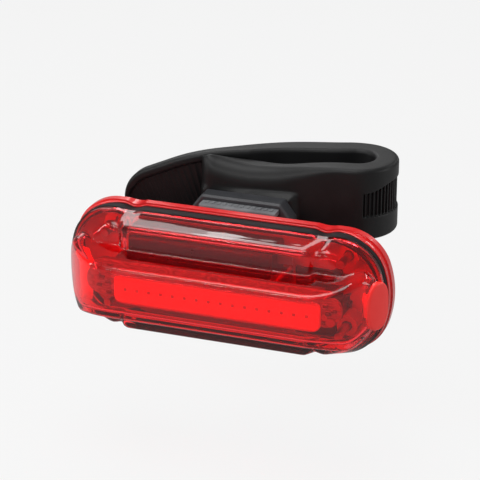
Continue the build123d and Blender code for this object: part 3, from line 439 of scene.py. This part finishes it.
def pillow(outline, base, top, edge, crown):
    """Outline raised from base to top with a rounded edge and a crowned face.
    Columns of the result are the two outline axes and the height; its faces close both ends."""
    a, b = outline
    arc = np.linspace(0, np.pi / 2, EDGE_RINGS)
    reach = np.hypot(a, b)
    wall = np.linspace(base, top - edge, SIDE_RINGS)
    inset = np.concatenate([0 * wall, edge * (1 - np.cos(arc[1:]))])
    height = np.concatenate([wall, top - edge + edge * np.sin(arc[1:])])
    shrink = 1 - inset[:, None] / np.maximum(reach[None, :], edge)
    inner = np.linspace(1, 0, FACE_RINGS)[1:]
    shrink = np.concatenate([shrink, shrink[-1:] * inner[:, None]])
    height = np.concatenate([height, top + crown * (1 - inner**2)])
    rings = np.stack([a * shrink, b * shrink, np.broadcast_to(height[:, None], shrink.shape)], -1)
    points = rings.reshape(-1, 3)
    faces = [list(q) for q in sheet_faces(len(rings), len(a), ring=True)]
    centre = len(points)
    points = np.concatenate([points, [[0, 0, base]]])
    faces += [[centre, i, (i + 1) % len(a)] for i in range(len(a))]
    return points, faces


def bar_end_x(y):
    """x of the bar's front at the right end for a place behind its nose."""
    share = np.clip(1 + y / BAR_DEPTH, BAR_LEAST_SHARE, 1)
    return BAR_FLAT + (BAR_END - BAR_FLAT) * share ** (1 / BAR_POWER)


def make_button(material):
    """Oval push button on a narrower neck; its face follows the bar's end, a little proud of the lens."""
    outline = oval(BUTTON_HALF_Y, BUTTON_HALF_Z, BUTTON_POINTS)
    points, faces = pillow(outline, -BUTTON_DEPTH, BUTTON_PROUD, BUTTON_EDGE, BUTTON_CROWN)
    lean = np.clip((points[:, 2] + BUTTON_DEPTH) / BUTTON_DEPTH, 0, 1)
    neck = soft_step(points[:, 2], BUTTON_NECK_LOW, BUTTON_NECK_HIGH)
    neck = BUTTON_NECK_SHARE + (1 - BUTTON_NECK_SHARE) * neck
    y, z = BUTTON_CENTRE_Y + points[:, 0] * neck, points[:, 1] * neck
    face_x = bar_end_x(y) * lean + bar_end_x(np.full_like(y, BUTTON_CENTRE_Y)) * (1 - lean)
    return make_piece("button_oval", np.stack([face_x + points[:, 2], y, z], -1), faces, material)


def make_end_tongue(material):
    """Upright oval end of the housing that shows through the lens at the left."""
    outline = oval(TONGUE_HALF_Y, TONGUE_HALF_Z, TONGUE_POINTS)
    points, faces = pillow(outline, -TONGUE_DEPTH, 0.0, TONGUE_EDGE, TONGUE_CROWN)
    y = TONGUE_CENTRE_Y + points[:, 0]
    x = -(bar_end_x(y) - TONGUE_BEHIND_LENS + points[:, 2])
    points = np.stack([x, y, TONGUE_CENTRE_Z + points[:, 1]], -1)
    return make_piece("housing_end_tongue", points, faces, material)


def make_strip(material):
    """Light strip: a soft-edged block with round corners in front of its board."""
    middle_x, middle_z = (STRIP_LEFT + STRIP_RIGHT) / 2, (STRIP_LOW + STRIP_TOP) / 2
    outline = oblong((STRIP_RIGHT - STRIP_LEFT) / 2, (STRIP_TOP - STRIP_LOW) / 2, *STRIP_CORNER)
    points, faces = pillow(outline, ON_BOARD - BOARD_FRONT, -STRIP_FRONT, STRIP_EDGE, 0.0)
    points = np.stack([points[:, 0] + middle_x, -points[:, 2], points[:, 1] + middle_z], -1)
    return make_piece("strip_block", points, faces, material)


def many_pillows(name, places, outline, base, top, edge, material):
    """The same small raised form at several places on a face that looks along -y."""
    points, faces = pillow(outline, base, top, edge, 0.0)
    every, quads = [], []
    for k, (x, z) in enumerate(places):
        every.append(np.stack([points[:, 0] + x, -points[:, 2], points[:, 1] + z], -1))
        quads += [[i + k * len(points) for i in face] for face in faces]
    return make_piece(name, np.concatenate(every), quads, material)


def make_chips(material):
    """Row of small chips just proud of the strip."""
    pitch = (STRIP_RIGHT - STRIP_LEFT) / (CHIP_COUNT + 1)
    row = [(STRIP_LEFT + pitch * (i + 1), (STRIP_LOW + STRIP_TOP) / 2) for i in range(CHIP_COUNT)]
    base, top = -STRIP_FRONT - CHIP_SUNK, -STRIP_FRONT + CHIP_PROUD
    outline = oblong(CHIP_HALF, CHIP_HALF, *CHIP_CORNER)
    return many_pillows("chip_row", row, outline, base, top, CHIP_EDGE, material)


def make_board_parts(material):
    """Small parts soldered on the board beside both ends of the strip."""
    outline = oblong(PART_HALF_X, PART_HALF_Z, *PART_CORNER)
    base, top = ON_BOARD - BOARD_FRONT, PART_HEIGHT - BOARD_FRONT
    return many_pillows("board_parts", PART_PLACES, outline, base, top, PART_EDGE, material)


# Strap: a band whose section is a rounded oblong between two plan lines

def tangent_lines(big, big_radius, small, small_radius):
    """Angles and touching points of the two outer tangents of two circles, front one first."""
    run = big - small
    middle = math.atan2(run[1], run[0])
    spread = math.asin((big_radius - small_radius) / np.linalg.norm(run))
    lines = []
    for side in (-1, 1):
        angle = middle + side * spread
        normal = side * np.array([-math.sin(angle), math.cos(angle)])
        lines.append((angle, small + small_radius * normal, big + big_radius * normal))
    return lines


LOOP_PLAN = LOOP_CENTRE[:2]
FRONT_OUT, BACK_OUT = tangent_lines(LOOP_PLAN, LOOP_RADIUS, SADDLE_END, SADDLE_END_RADIUS)
FRONT_IN, BACK_IN = tangent_lines(LOOP_PLAN, OPENING_RADIUS, OPENING_TIP, OPENING_TIP_RADIUS)


def line_y(line, x):
    """y of a tangent line at x."""
    return line[1][1] + (x - line[1][0]) * math.tan(line[0])


def arm_bow(x):
    """How far the back arm bows out from its straight line: a squared sine between its ends."""
    return ARM_BOW * hump(x, ARM_BOW_START, BEND_X)


def loop_circle_y(x, radius):
    """Back of a circle about the loop's centre at x."""
    return LOOP_PLAN[1] + np.sqrt(np.clip(radius**2 - (x - LOOP_PLAN[0]) ** 2, 0, None))


def split_y(x):
    """y of the line that parts the saddle from the back strap, left of the opening."""
    slope = (LOOP_PLAN[1] - OPENING_TIP[1]) / (LOOP_PLAN[0] - OPENING_TIP[0])
    return OPENING_TIP[1] + (x - OPENING_TIP[0]) * slope


def saddle_front_y(x):
    """Front of the saddle: the end circle, then its tangent line."""
    inside = np.clip(SADDLE_END_RADIUS**2 - (x - SADDLE_END[0]) ** 2, 0, None)
    return np.where(x < FRONT_OUT[1][0], SADDLE_END[1] - np.sqrt(inside), line_y(FRONT_OUT, x))


def saddle_back_y(x):
    """Back of the saddle: the split line with the arm's bow, then the opening's front edge."""
    straight = soft_min(split_y(x), line_y(FRONT_IN, x), FRONT_BLEND)
    return straight + arm_bow(x) * (1 - soft_step(x, ARM_FADE_START, ARM_FADE_END))


def tail_y(x, side):
    """Front (side -1) or back (side 1) of the tail's straight band at x."""
    slope = (TAIL_TIP[1] - TAIL_ROOT[1]) / (TAIL_TIP[0] - TAIL_ROOT[0])
    return TAIL_ROOT[1] + (x - TAIL_ROOT[0]) * slope + side * TAIL_HALF * math.hypot(1, slope)


def back_front_y(x):
    """Front of the back strap and tail: the opening's back edge, the split with a gap, the tail."""
    edge = np.where(x > BACK_IN[2][0], loop_circle_y(x, OPENING_RADIUS), line_y(BACK_IN, x))
    split = split_y(x) + SPLIT_GAP
    inner = np.where(x > OPENING_TIP[0], np.maximum(edge, split), split)
    return soft_max(inner, tail_y(x, -1), TAIL_FRONT_BLEND) + arm_bow(x)


def back_back_y(x):
    """Back of the back strap and tail: the loop's circle, its tangent line, then the tail's back."""
    edge = np.where(x > BACK_OUT[2][0], loop_circle_y(x, LOOP_RADIUS), line_y(BACK_OUT, x))
    return soft_max(edge, tail_y(x, 1), TAIL_BACK_BLEND) + arm_bow(x)


def band_section(low, high, thick, round_z, round_a, walls=WALL_POINTS):
    """Closed section per station: height, distance in from the front face, and where it is front.
    It goes up the front wall, over the front corner of its own radii, across the top, down the back
    and home across the bottom; the other corners are quarter circles."""
    arc = np.linspace(0, np.pi / 2, CORNER_POINTS)[None, :]
    low, high, thick = (np.asarray(value, float)[:, None] for value in (low, high, thick))
    round_z, round_a = (np.broadcast_to(value, low[:, 0].shape)[:, None] for value in (round_z, round_a))
    edge = np.minimum(RIM_ROUND, thick * EDGE_SHARE)
    round_a = np.minimum(round_a, thick - edge)
    wall = np.linspace(0, 1, walls)[None, :]
    flat = np.linspace(0, 1, TOP_POINTS)[None, 1:-1]
    down = wall[:, 1:-1:BACK_WALL_STEP]
    bottom, top = low + edge, high - round_z
    parts = [
        (bottom + (top - bottom) * wall, np.zeros_like(wall)),
        (top + round_z * np.sin(arc[:, 1:]), round_a * (1 - np.cos(arc[:, 1:]))),
        (high, round_a + (thick - edge - round_a) * flat),
        (high - edge + edge * np.cos(arc), thick - edge + edge * np.sin(arc)),
        (high - edge + (low - high + 2 * edge) * down, thick),
        (low + edge - edge * np.sin(arc), thick - edge + edge * np.cos(arc)),
        (low, thick - edge + (2 * edge - thick) * flat),
        (low + edge - edge * np.cos(arc[:, :-1]), edge - edge * np.sin(arc[:, :-1])),
    ]
    parts = [np.broadcast_arrays(z, a, low)[:2] for z, a in parts]
    front = np.concatenate([np.full(z.shape, k == 0) for k, (z, _) in enumerate(parts)], axis=1)
    return np.concatenate([z for z, _ in parts], axis=1), np.concatenate([a for _, a in parts], axis=1), front


def close_band(name, rings, material):
    """Ring of sections along the band, closed by a fan of triangles at each end."""
    stations, around = rings.shape[:2]
    points = rings.reshape(-1, 3)
    faces = [list(q) for q in sheet_faces(stations, around, ring=True)]
    for at in (0, stations - 1):
        centre = len(points)
        points = np.concatenate([points, rings[at].mean(0)[None]])
        ring = at * around + np.arange(around)
        faces += [[centre, a, b] for a, b in zip(ring, np.roll(ring, -1))]
    return make_piece(name, points, faces, material)


def make_saddle(material):
    """Front of the loop: sagging upper edge with a wide soft bevel, and the pad behind the bracket."""
    left = SADDLE_END[0] - SADDLE_END_RADIUS * NOSE_SHARE
    nose = left + NOSE_LENGTH * (1 - np.cos(np.linspace(0, np.pi / 2, NOSE_STATIONS)))
    x = np.concatenate([nose, np.linspace(left + NOSE_JOIN, BEND_X, SADDLE_STATIONS)])
    thick = np.maximum(saddle_back_y(x) - saddle_front_y(x), LEAST_THICKNESS)
    wide = 1 - soft_step(x, BEVEL_FADE, BEND_X - BEVEL_END)
    inside = soft_step(PAD_HALF_X + PAD_LOW_REACH - np.abs(x), 0, PAD_LOW_SOFT)
    low = STRAP_LOW + (PAD_LOW - STRAP_LOW) * inside
    share = np.clip((x - SADDLE_SAG_START) / (BEND_X - SADDLE_SAG_START), 0, 1)
    sag = SADDLE_SAG * hump(share**SADDLE_SAG_LEFTWARD, 0, 1)
    high = STRAP_HIGH - sag - NOSE_FALL * (1 - soft_step(x, left, left + NOSE_FALL_LENGTH))
    bevel = (RIM_ROUND + BEVEL_HEIGHT * wide, RIM_ROUND + BEVEL_DEPTH * wide)
    z, a, on_front = band_section(low, high, thick, *bevel)
    x = np.broadcast_to(x[:, None], z.shape)
    across = soft_step(PAD_HALF_X + PAD_SIDE_REACH - np.abs(x), 0, PAD_SIDE_SOFT)
    below = 1 - soft_step(z, PAD_HIGH + PAD_TOP_REACH - PAD_TOP_SOFT, PAD_HIGH + PAD_TOP_REACH)
    a = a - np.where(on_front, (saddle_front_y(x) - PAD_FRONT) * across * below, 0)
    return close_band("strap_saddle_form", np.stack([x, saddle_front_y(x) + a, z], -1), material)


def make_back(material):
    """Back of the loop and drooping tail; the tail's front has a rim round a ribbed recess."""
    tip = TIP_LENGTH * np.sin(np.linspace(TIP_FIRST_TURN, np.pi / 2, TIP_STATIONS))
    back = np.linspace(0, TAIL_START, BACK_STATIONS)
    tail = np.linspace(TAIL_START + BACK_GAP, TAIL_LENGTH, TAIL_STATIONS)
    along = np.concatenate([back, tail, TAIL_LENGTH + tip])
    droop = TAIL_DROOP * soft_step(along, TAIL_DROOP_START, TAIL_DROOP_END)
    step = np.diff(along, prepend=0)
    centre_x = BEND_X - np.cumsum(step * np.cos(droop))
    centre_z = (STRAP_LOW + STRAP_HIGH) / 2 - np.cumsum(step * np.sin(droop))
    beyond = np.clip(along - (along[-1] - TAIL_TURN), 0, TAIL_TURN)
    rounded = np.sqrt(np.clip(TAIL_TURN**2 - beyond**2, 0, None))
    half = np.maximum((STRAP_HIGH - STRAP_LOW) / 2 - TAIL_TURN + rounded, TAIL_LEAST_HALF)
    thick = back_back_y(centre_x) - back_front_y(centre_x)
    t, a, on_front = band_section(-half, half, thick, RIM_ROUND, RIM_ROUND)
    x = centre_x[:, None] - t * np.sin(droop)[:, None]
    z = centre_z[:, None] + t * np.cos(droop)[:, None]
    inner = (half - TAIL_RIM)[:, None] - np.abs(t)
    beyond_start = soft_step(along, TAIL_START, TAIL_START + TAIL_FADE)[:, None]
    field = soft_step(inner, 0, TAIL_RIM_SOFT) * beyond_start
    ribs = np.clip(np.cos(2 * np.pi * along / TAIL_RIB), -TAIL_RIB_FLOOR, 1)[:, None]
    a = a + np.where(on_front, field * (TAIL_RECESS - TAIL_RIB_HEIGHT * (ribs + TAIL_RIB_FLOOR)), 0)
    y = back_front_y(x) + (back_back_y(x) - back_front_y(x)) * a / thick[:, None]
    return close_band("strap_tail_form", np.stack([x, y, z], -1), material)


def loop_curve(line, radius):
    """Plan curve from a front tangent line round the loop's end, from x = BEND_X to x = BEND_X."""
    turn = np.linspace(line[0] - np.pi / 2, math.acos((BEND_X - LOOP_PLAN[0]) / radius), CURVE_POINTS)
    arc = LOOP_PLAN + radius * np.stack([np.cos(turn), np.sin(turn)], -1)
    curve = np.concatenate([[[BEND_X, line_y(line, BEND_X)]], arc])
    run = np.concatenate([[0], np.cumsum(np.linalg.norm(np.diff(curve, axis=0), axis=1))])
    wanted = np.linspace(0, run[-1], BEND_STATIONS)
    return np.stack([np.interp(wanted, run, curve[:, k]) for k in range(2)], -1)


def make_bend(material):
    """Bend round the loop's end: outer and inner circles, with a ribbed recess between two rails."""
    far, near = loop_curve(FRONT_OUT, LOOP_RADIUS), loop_curve(FRONT_IN, OPENING_RADIUS)
    thick = np.linalg.norm(far - near, axis=1)
    low, high = np.full(len(far), STRAP_LOW), np.full(len(far), STRAP_HIGH)
    z, a, on_front = band_section(low, high, thick, RIM_ROUND, RIM_ROUND, BEND_WALL_POINTS)
    turn = np.degrees(np.arctan2(far[:, 1] - LOOP_PLAN[1], far[:, 0] - LOOP_PLAN[0]))[:, None]
    first, last = RIB_FIRST - RECESS_ENDS, RIB_LAST + RECESS_ENDS
    field = soft_step(turn, first, RIB_FIRST - RECESS_FULL)
    field = field * (1 - soft_step(turn, RIB_LAST + RECESS_FULL, last))
    top = RECESS_HIGH + RECESS_GROWTH * soft_step(turn, first, RIB_FIRST + RECESS_GROWTH_TURN)
    field = field * soft_step(z, RECESS_LOW, RECESS_LOW + RECESS_SOFT)
    field = field * (1 - soft_step(z, top - RECESS_SOFT, top))
    wave = np.cos(2 * np.pi * (turn - RIB_FIRST) / RIB_STEP)
    ribs = np.clip(RIB_STEEPNESS * wave, RIB_FLOOR, 1)
    a = a + np.where(on_front, field * RECESS_DEPTH * (RECESS_MIDDLE - RECESS_SWING * ribs), 0)
    plan = far[:, None] + (near - far)[:, None] * (a / thick[:, None])[..., None]
    return close_band("strap_bend_form", np.concatenate([plan, z[..., None]], -1), material)


# Finishes

class Flow:
    """A socket in a material; arithmetic on it adds Math nodes."""

    def __init__(self, finish, socket):
        self.finish, self.socket = finish, socket

    def _math(self, operation, a, b):
        return self.finish.node("ShaderNodeMath", {"operation": operation}, {0: a, 1: b})

    def __add__(self, other):
        return self._math("ADD", self, other)

    def __radd__(self, other):
        return self._math("ADD", other, self)

    def __sub__(self, other):
        return self._math("SUBTRACT", self, other)

    def __rsub__(self, other):
        return self._math("SUBTRACT", other, self)

    def __mul__(self, other):
        return self._math("MULTIPLY", self, other)

    def __rmul__(self, other):
        return self._math("MULTIPLY", other, self)


class Finish:
    """The nodes of a material or of the world."""

    def __init__(self, owner, output="ShaderNodeOutputMaterial"):
        self.owner = owner
        self.owner.use_nodes = True
        self.tree = owner.node_tree
        self.tree.nodes.clear()
        self.output = self.tree.nodes.new(output)

    def node(self, kind, settings=None, inputs=None, out=0):
        """Any node: its type, its settings, the values or links of its sockets, and its output."""
        made = self.tree.nodes.new(kind)
        for key, value in (settings or {}).items():
            if key == "stops":
                ramp = made.color_ramp.elements
                while len(ramp) < len(value):
                    ramp.new(0.5)
                for element, (at, colour) in zip(ramp, value):
                    element.position, element.color = at, (*colour, 1.0)
            else:
                setattr(made, key, value)
        for key, value in (inputs or {}).items():
            if isinstance(value, Flow):
                self.tree.links.new(value.socket, made.inputs[key])
            else:
                made.inputs[key].default_value = value
        return Flow(self, made.outputs[out])

    def noise(self, grain, detail=2.0, stretch=(1, 1, 1)):
        """Noise with a grain in metres, 0 to 1."""
        spot = self.node("ShaderNodeTexCoord", out="Object")
        place = self.node("ShaderNodeMapping", {}, {"Vector": spot, "Scale": stretch})
        return self.node("ShaderNodeTexNoise", {}, {"Vector": place, "Scale": 1 / grain, "Detail": detail})

    def ramp(self, factor, stops):
        """Colour ramp with stops of place and colour."""
        return self.node("ShaderNodeValToRGB", {"stops": stops}, {"Fac": factor})

    def bump(self, height, distance):
        """Normal from a height of 0 to 1 and what 1 stands for in metres."""
        return self.node("ShaderNodeBump", {}, {"Height": height, "Distance": distance})

    def shader(self, **sockets):
        """Principled shader; socket names are written with underscores."""
        inputs = {key.replace("_", " "): value for key, value in sockets.items()}
        return self.node("ShaderNodeBsdfPrincipled", {}, inputs)

    def cover(self, shader):
        """Makes a shader the surface and returns the material or world."""
        self.tree.links.new(shader.socket, self.output.inputs["Surface"])
        return self.owner

    def surface(self, **sockets):
        """Principled shader as the surface."""
        return self.cover(self.shader(**sockets))


def grained(name, dark, light, grain, rough, rough_spread, depth, **fixed):
    """Moulded surface: colour drifts between two shades, fine grain in roughness and height."""
    finish = Finish(bpy.data.materials.new(name))
    drift = finish.noise(grain * DRIFT_GRAIN, 3.0)
    fine = finish.noise(grain, 3.0)
    colour = finish.ramp(drift, [(0.25, dark), (0.75, light)])
    sockets = {"Base_Color": colour, "Roughness": rough - rough_spread / 2 + fine * rough_spread}
    if depth:
        sockets["Normal"] = finish.bump(fine, depth)
    return finish.surface(**sockets, **fixed)


def clear_red():
    """Clear red moulding: tinted all through, glossy, faintly wavy from the mould, lets lamp light in."""
    finish = Finish(bpy.data.materials.new("lens_red"))
    wave = finish.noise(LENS_WAVE, 1.0)
    rough = 0.015 + finish.noise(LENS_FINE, 2.0) * 0.03
    drift = finish.noise(LENS_DRIFT, 2.0)
    colour = finish.ramp(drift, [(0.3, (0.95, 0.03, 0.045)), (0.7, (0.98, 0.045, 0.055))])
    glass = finish.shader(
        Base_Color=colour, Roughness=rough, Normal=finish.bump(wave, LENS_WAVE_HEIGHT),
        Transmission_Weight=1.0, IOR=LENS_IOR,
    )
    tint = finish.node("ShaderNodeBsdfTransparent", {}, {"Color": (0.97, 0.3, 0.28, 1)})
    shadow = finish.node("ShaderNodeLightPath", out="Is Shadow Ray")
    body = finish.node("ShaderNodeBsdfDiffuse", {}, {"Color": (0.85, 0.008, 0.016, 1)})
    cloudy = finish.node("ShaderNodeMixShader", {}, {0: LENS_CLOUD, 1: glass, 2: body})
    return finish.cover(finish.node("ShaderNodeMixShader", {}, {0: shadow, 1: cloudy, 2: tint}))


def strip_painted_glow():
    """Translucent red coating of the light strip, deeper in colour towards its long edges; it also gives out
    that colour as a faint painted glow, brightest along the middle, though the light is not switched on.
    """
    finish = Finish(bpy.data.materials.new("strip_phosphor"))
    fine = finish.noise(0.0006, 2.0)
    spot = finish.node("ShaderNodeTexCoord", out="Object")
    height = finish.node("ShaderNodeSeparateXYZ", {}, {"Vector": spot}, out="Z")
    middle, half = (STRIP_TOP + STRIP_LOW) / 2 - LOOP_CENTRE[2], (STRIP_TOP - STRIP_LOW) / 2
    off = (height - middle * MM) * (1 / (half * MM))
    glow = 1.0 - off * off + (fine - 0.5) * 0.2
    colour = finish.ramp(glow, [(0.0, (0.3, 0.002, 0.003)), (0.6, (0.88, 0.014, 0.006))])
    # painted glow: the strip's colour is also emitted, so it shines though the light is not switched on
    return finish.surface(
        Base_Color=colour, Roughness=0.35 + fine * 0.1, Emission_Color=colour, Emission_Strength=0.3,
    )


def board_mask():
    """White solder mask with paler and darker runs where copper lies under it."""
    finish = Finish(bpy.data.materials.new("board_white"))
    wide = finish.noise(0.004, 0.0, (1, 1, 3))
    tracks = finish.node("ShaderNodeMath", {"operation": "PINGPONG"}, {0: wide, 1: 0.07}) * 14
    colour = finish.ramp(tracks, [(0.35, (0.24, 0.2, 0.19)), (0.6, (0.36, 0.33, 0.32))])
    return finish.surface(Base_Color=colour, Roughness=0.35 + wide * 0.1, Normal=finish.bump(tracks, 0.00003))


# Moulded and metal finishes: name, darker and lighter shade, then grain in metres, roughness, its
# spread and the grain's height in metres, and further fixed sockets
GRAINED = {
    "seal_gasket": ("seal_dark", (0.006, 0.005, 0.006), (0.012, 0.009, 0.01), (4e-4, 0.6, 0.12, 2e-5),
                    {"Specular_IOR_Level": 0.15}),
    "rear_housing": ("housing_red", (0.62, 0.012, 0.014), (0.68, 0.017, 0.018), (8e-4, 0.22, 0.08, 4e-6),
                     {"Coat_Weight": 0.4, "Coat_Roughness": 0.08}),
    "power_button": ("button_red", (0.9, 0.024, 0.02), (0.96, 0.034, 0.028), (3e-4, 0.4, 0.1, 8e-6), {}),
    "port_cover": ("cover_rubber", (0.012, 0.012, 0.0125), (0.02, 0.02, 0.021),
                   (2.5e-4, 0.5, 0.12, 1e-5), {}),
    "bracket_plate": ("bracket_black", (0.022, 0.023, 0.026), (0.03, 0.031, 0.035),
                      (1.8e-4, 0.42, 0.2, 3e-5), {}),
    "release_tab": ("tab_grey", (0.07, 0.072, 0.078), (0.16, 0.163, 0.172), (1.4e-4, 0.7, 0.2, 1e-4), {}),
    "steel": ("steel", (0.5, 0.5, 0.51), (0.62, 0.62, 0.63), (2e-4, 0.3, 0.15, 5e-6), {"Metallic": 1.0}),
    "light_chips": ("chip_red", (0.4, 0.009, 0.005), (0.5, 0.012, 0.006), (2e-4, 0.4, 0.12, 0.0), {}),
    "board_parts": ("part_brown", (0.1, 0.008, 0.006), (0.14, 0.01, 0.008), (2e-4, 0.4, 0.12, 0.0), {}),
    "solder_pads": ("solder", (0.55, 0.55, 0.56), (0.7, 0.7, 0.7), (3e-4, 0.3, 0.15, 2e-5),
                    {"Metallic": 1.0}),
    "board_carrier": ("carrier_dark", (0.09, 0.005, 0.006), (0.13, 0.007, 0.008), (6e-4, 0.5, 0.12, 0.0), {}),
    "battery_cell": ("cell_wrap", (0.008, 0.008, 0.009), (0.014, 0.014, 0.015),
                     (1.5e-3, 0.3, 0.15, 4e-5), {}),
    "battery_tabs": ("tab_nickel", (0.5, 0.48, 0.44), (0.6, 0.58, 0.54), (2e-4, 0.35, 0.1, 5e-6),
                     {"Metallic": 1.0}),
    "charge_board": ("board_green", (0.02, 0.12, 0.05), (0.03, 0.17, 0.07), (6e-4, 0.35, 0.12, 0.0), {}),
    "component_black": ("component_black", (0.015, 0.015, 0.016), (0.025, 0.025, 0.026),
                        (3e-4, 0.45, 0.12, 1e-5), {}),
    "battery_leads": ("lead_sleeve", (0.3, 0.01, 0.01), (0.4, 0.015, 0.012), (4e-4, 0.4, 0.12, 0.0), {}),
    "strap": ("strap_rubber", (0.004, 0.004, 0.0043), (0.007, 0.007, 0.0073), (2.2e-4, 0.46, 0.14, 1.8e-5),
              {"Specular_IOR_Level": 0.24}),
}


def make_finishes():
    """Every finish by the piece that wears it."""
    made = {}
    for piece, (name, dark, light, feel, fixed) in GRAINED.items():
        made[piece] = grained(name, dark, light, *feel, **fixed)
    return made | {"front_lens": clear_red(), "light_strip": strip_painted_glow(), "light_board": board_mask()}


FINISH_OF_NODE = {
    "rear_housing": "rear_housing", "housing_screws": "steel",
    "switch_body": "component_black", "switch_stem": "component_black",
    "light_board": "light_board", "board_screws": "steel", "solder_pads": "solder_pads",
    "board_carrier": "board_carrier",
    "battery_cell": "battery_cell", "battery_tabs": "battery_tabs", "charge_board": "charge_board",
    "charge_parts": "component_black", "charge_socket": "steel", "port_cover": "port_cover",
    "battery_leads": "battery_leads", "bracket_plate": "bracket_plate", "release_tab": "release_tab",
    "bracket_rivets": "steel",
}


def dress_nodes(finishes):
    """Gives every CAD node that stays its finish."""
    for node, finish in FINISH_OF_NODE.items():
        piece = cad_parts[node]
        for slot in piece.material_slots:
            slot.material = finishes[finish]


# Stage

def place_of(x, y, z):
    """Point in metres in the row frame from millimetres in the light's own frame."""
    return (np.array([x, y, z]) - LOOP_CENTRE) * MM


def make_camera():
    """Camera at the photograph's angle, aimed so that the light lies where it does there."""
    side, front = math.sin(CAMERA_AZIMUTH), math.cos(CAMERA_AZIMUTH)
    level, rise = math.cos(CAMERA_ELEVATION), math.sin(CAMERA_ELEVATION)
    back = np.array([side * level, -front * level, rise])
    right = np.array([front, side, 0])
    up = np.cross(back, right)
    target = right * CAMERA_SHIFT_RIGHT + up * CAMERA_SHIFT_UP
    data = bpy.data.cameras.new("photo_camera")
    data.lens, data.sensor_width = CAMERA_LENS, CAMERA_SENSOR
    data.clip_start, data.clip_end = 0.01, 20.0
    camera = bpy.data.objects.new("photo_camera", data)
    camera.matrix_world = Matrix(np.stack([right, up, back], 1).tolist()).to_4x4()
    camera.location = place_of(*(target + back * CAMERA_DISTANCE))
    bpy.context.scene.collection.objects.link(camera)
    bpy.context.scene.camera = camera


def add_light(name, at, towards, width, height, radiance):
    """Rectangular soft light of a given radiance, aimed at a point; places in millimetres."""
    data = bpy.data.lights.new(name, "AREA")
    data.shape, data.size, data.size_y = "RECTANGLE", width * MM, height * MM
    data.energy = radiance * math.pi * data.size * data.size_y
    light = bpy.data.objects.new(name, data)
    aim = Vector(place_of(*towards)) - Vector(place_of(*at))
    light.rotation_mode = "QUATERNION"
    light.rotation_quaternion = aim.to_track_quat("-Z", "Y")
    light.location = place_of(*at)
    bpy.context.scene.collection.objects.link(light)


def make_floor():
    """Pale floor that shows white to the camera and keeps the object's shadow. It lies low enough
    for the light to slide down its bracket and for its port cover to hang open."""
    low = min(CAD_BOX[0][2], CAD_BOX[1][2]) - FLOOR_DROP * MM
    mesh = bpy.data.meshes.new("floor")
    corners = [(-1, -1), (1, -1), (1, 1), (-1, 1)]
    mesh.from_pydata([(FLOOR_REACH * a, FLOOR_REACH * b, low) for a, b in corners], [], [(0, 1, 2, 3)])
    floor = bpy.data.objects.new("floor", mesh)
    bpy.context.scene.collection.objects.link(floor)
    finish = Finish(bpy.data.materials.new("floor_white"))
    seen = finish.node("ShaderNodeLightPath", out="Is Camera Ray")
    through = finish.node("ShaderNodeLightPath", out="Is Transmission Ray")
    white = finish.node("ShaderNodeEmission", {}, {"Color": (1, 1, 1, 1), "Strength": 1.0})
    matt = finish.node("ShaderNodeBsdfDiffuse", {}, {"Color": FLOOR_SHADE})
    mirrored = finish.node("ShaderNodeLightPath", out="Is Glossy Ray") * FLOOR_IN_REFLECTIONS
    whole = finish.node("ShaderNodeMath", {"operation": "MINIMUM"}, {0: seen + through + mirrored, 1: 1.0})
    finish.cover(finish.node("ShaderNodeMixShader", {}, {0: whole * FLOOR_WHITE_SHARE, 1: matt, 2: white}))
    mesh.materials.append(finish.owner)


def make_world():
    """Even soft surround that shows white to the camera."""
    world = bpy.data.worlds.new("studio")
    bpy.context.scene.world = world
    surround = Finish(world, "ShaderNodeOutputWorld")
    seen = surround.node("ShaderNodeLightPath", out="Is Camera Ray")
    lit = surround.node("ShaderNodeBackground", {}, {"Color": (1, 1, 1, 1), "Strength": SURROUND_STRENGTH})
    white = surround.node("ShaderNodeBackground", {}, {"Color": (1, 1, 1, 1), "Strength": 1.0})
    surround.cover(surround.node("ShaderNodeMixShader", {}, {0: seen, 1: lit, 2: white}))


def make_studio():
    """Surround, floor and lamps."""
    make_world()
    make_floor()
    for name, (at, width, height, radiance) in LAMPS.items():
        add_light(name, at, LAMP_AIM, width, height, radiance)


# Build

make_camera()
make_studio()
finishes = make_finishes()
dress_nodes(finishes)

lens = make_lens(finishes["front_lens"])
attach(lens, "light")
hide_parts("front_lens")

seal = make_seal(finishes["seal_gasket"])
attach(seal, "light")
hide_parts("seal_gasket")

strip = make_strip(finishes["light_strip"])
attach(strip, "light")
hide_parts("light_strip")

chips = make_chips(finishes["light_chips"])
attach(chips, "light")
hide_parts("light_chips")

parts = make_board_parts(finishes["board_parts"])
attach(parts, "light")

lip = make_lip(finishes["rear_housing"])
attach(lip, "light")

tongue = make_end_tongue(finishes["power_button"])
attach(tongue, "light")

button = make_button(finishes["power_button"])
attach(button, "button")
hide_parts("power_button")

saddle = make_saddle(finishes["strap"])
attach(saddle, "bracket")
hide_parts("strap_saddle")

tail = make_back(finishes["strap"])
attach(tail, "strap_tail")
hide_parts("strap_back")

bend = make_bend(finishes["strap"])
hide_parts("strap_bend")
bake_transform(bend)

scene = bpy.context.scene
scene.view_settings.view_transform = "Standard"
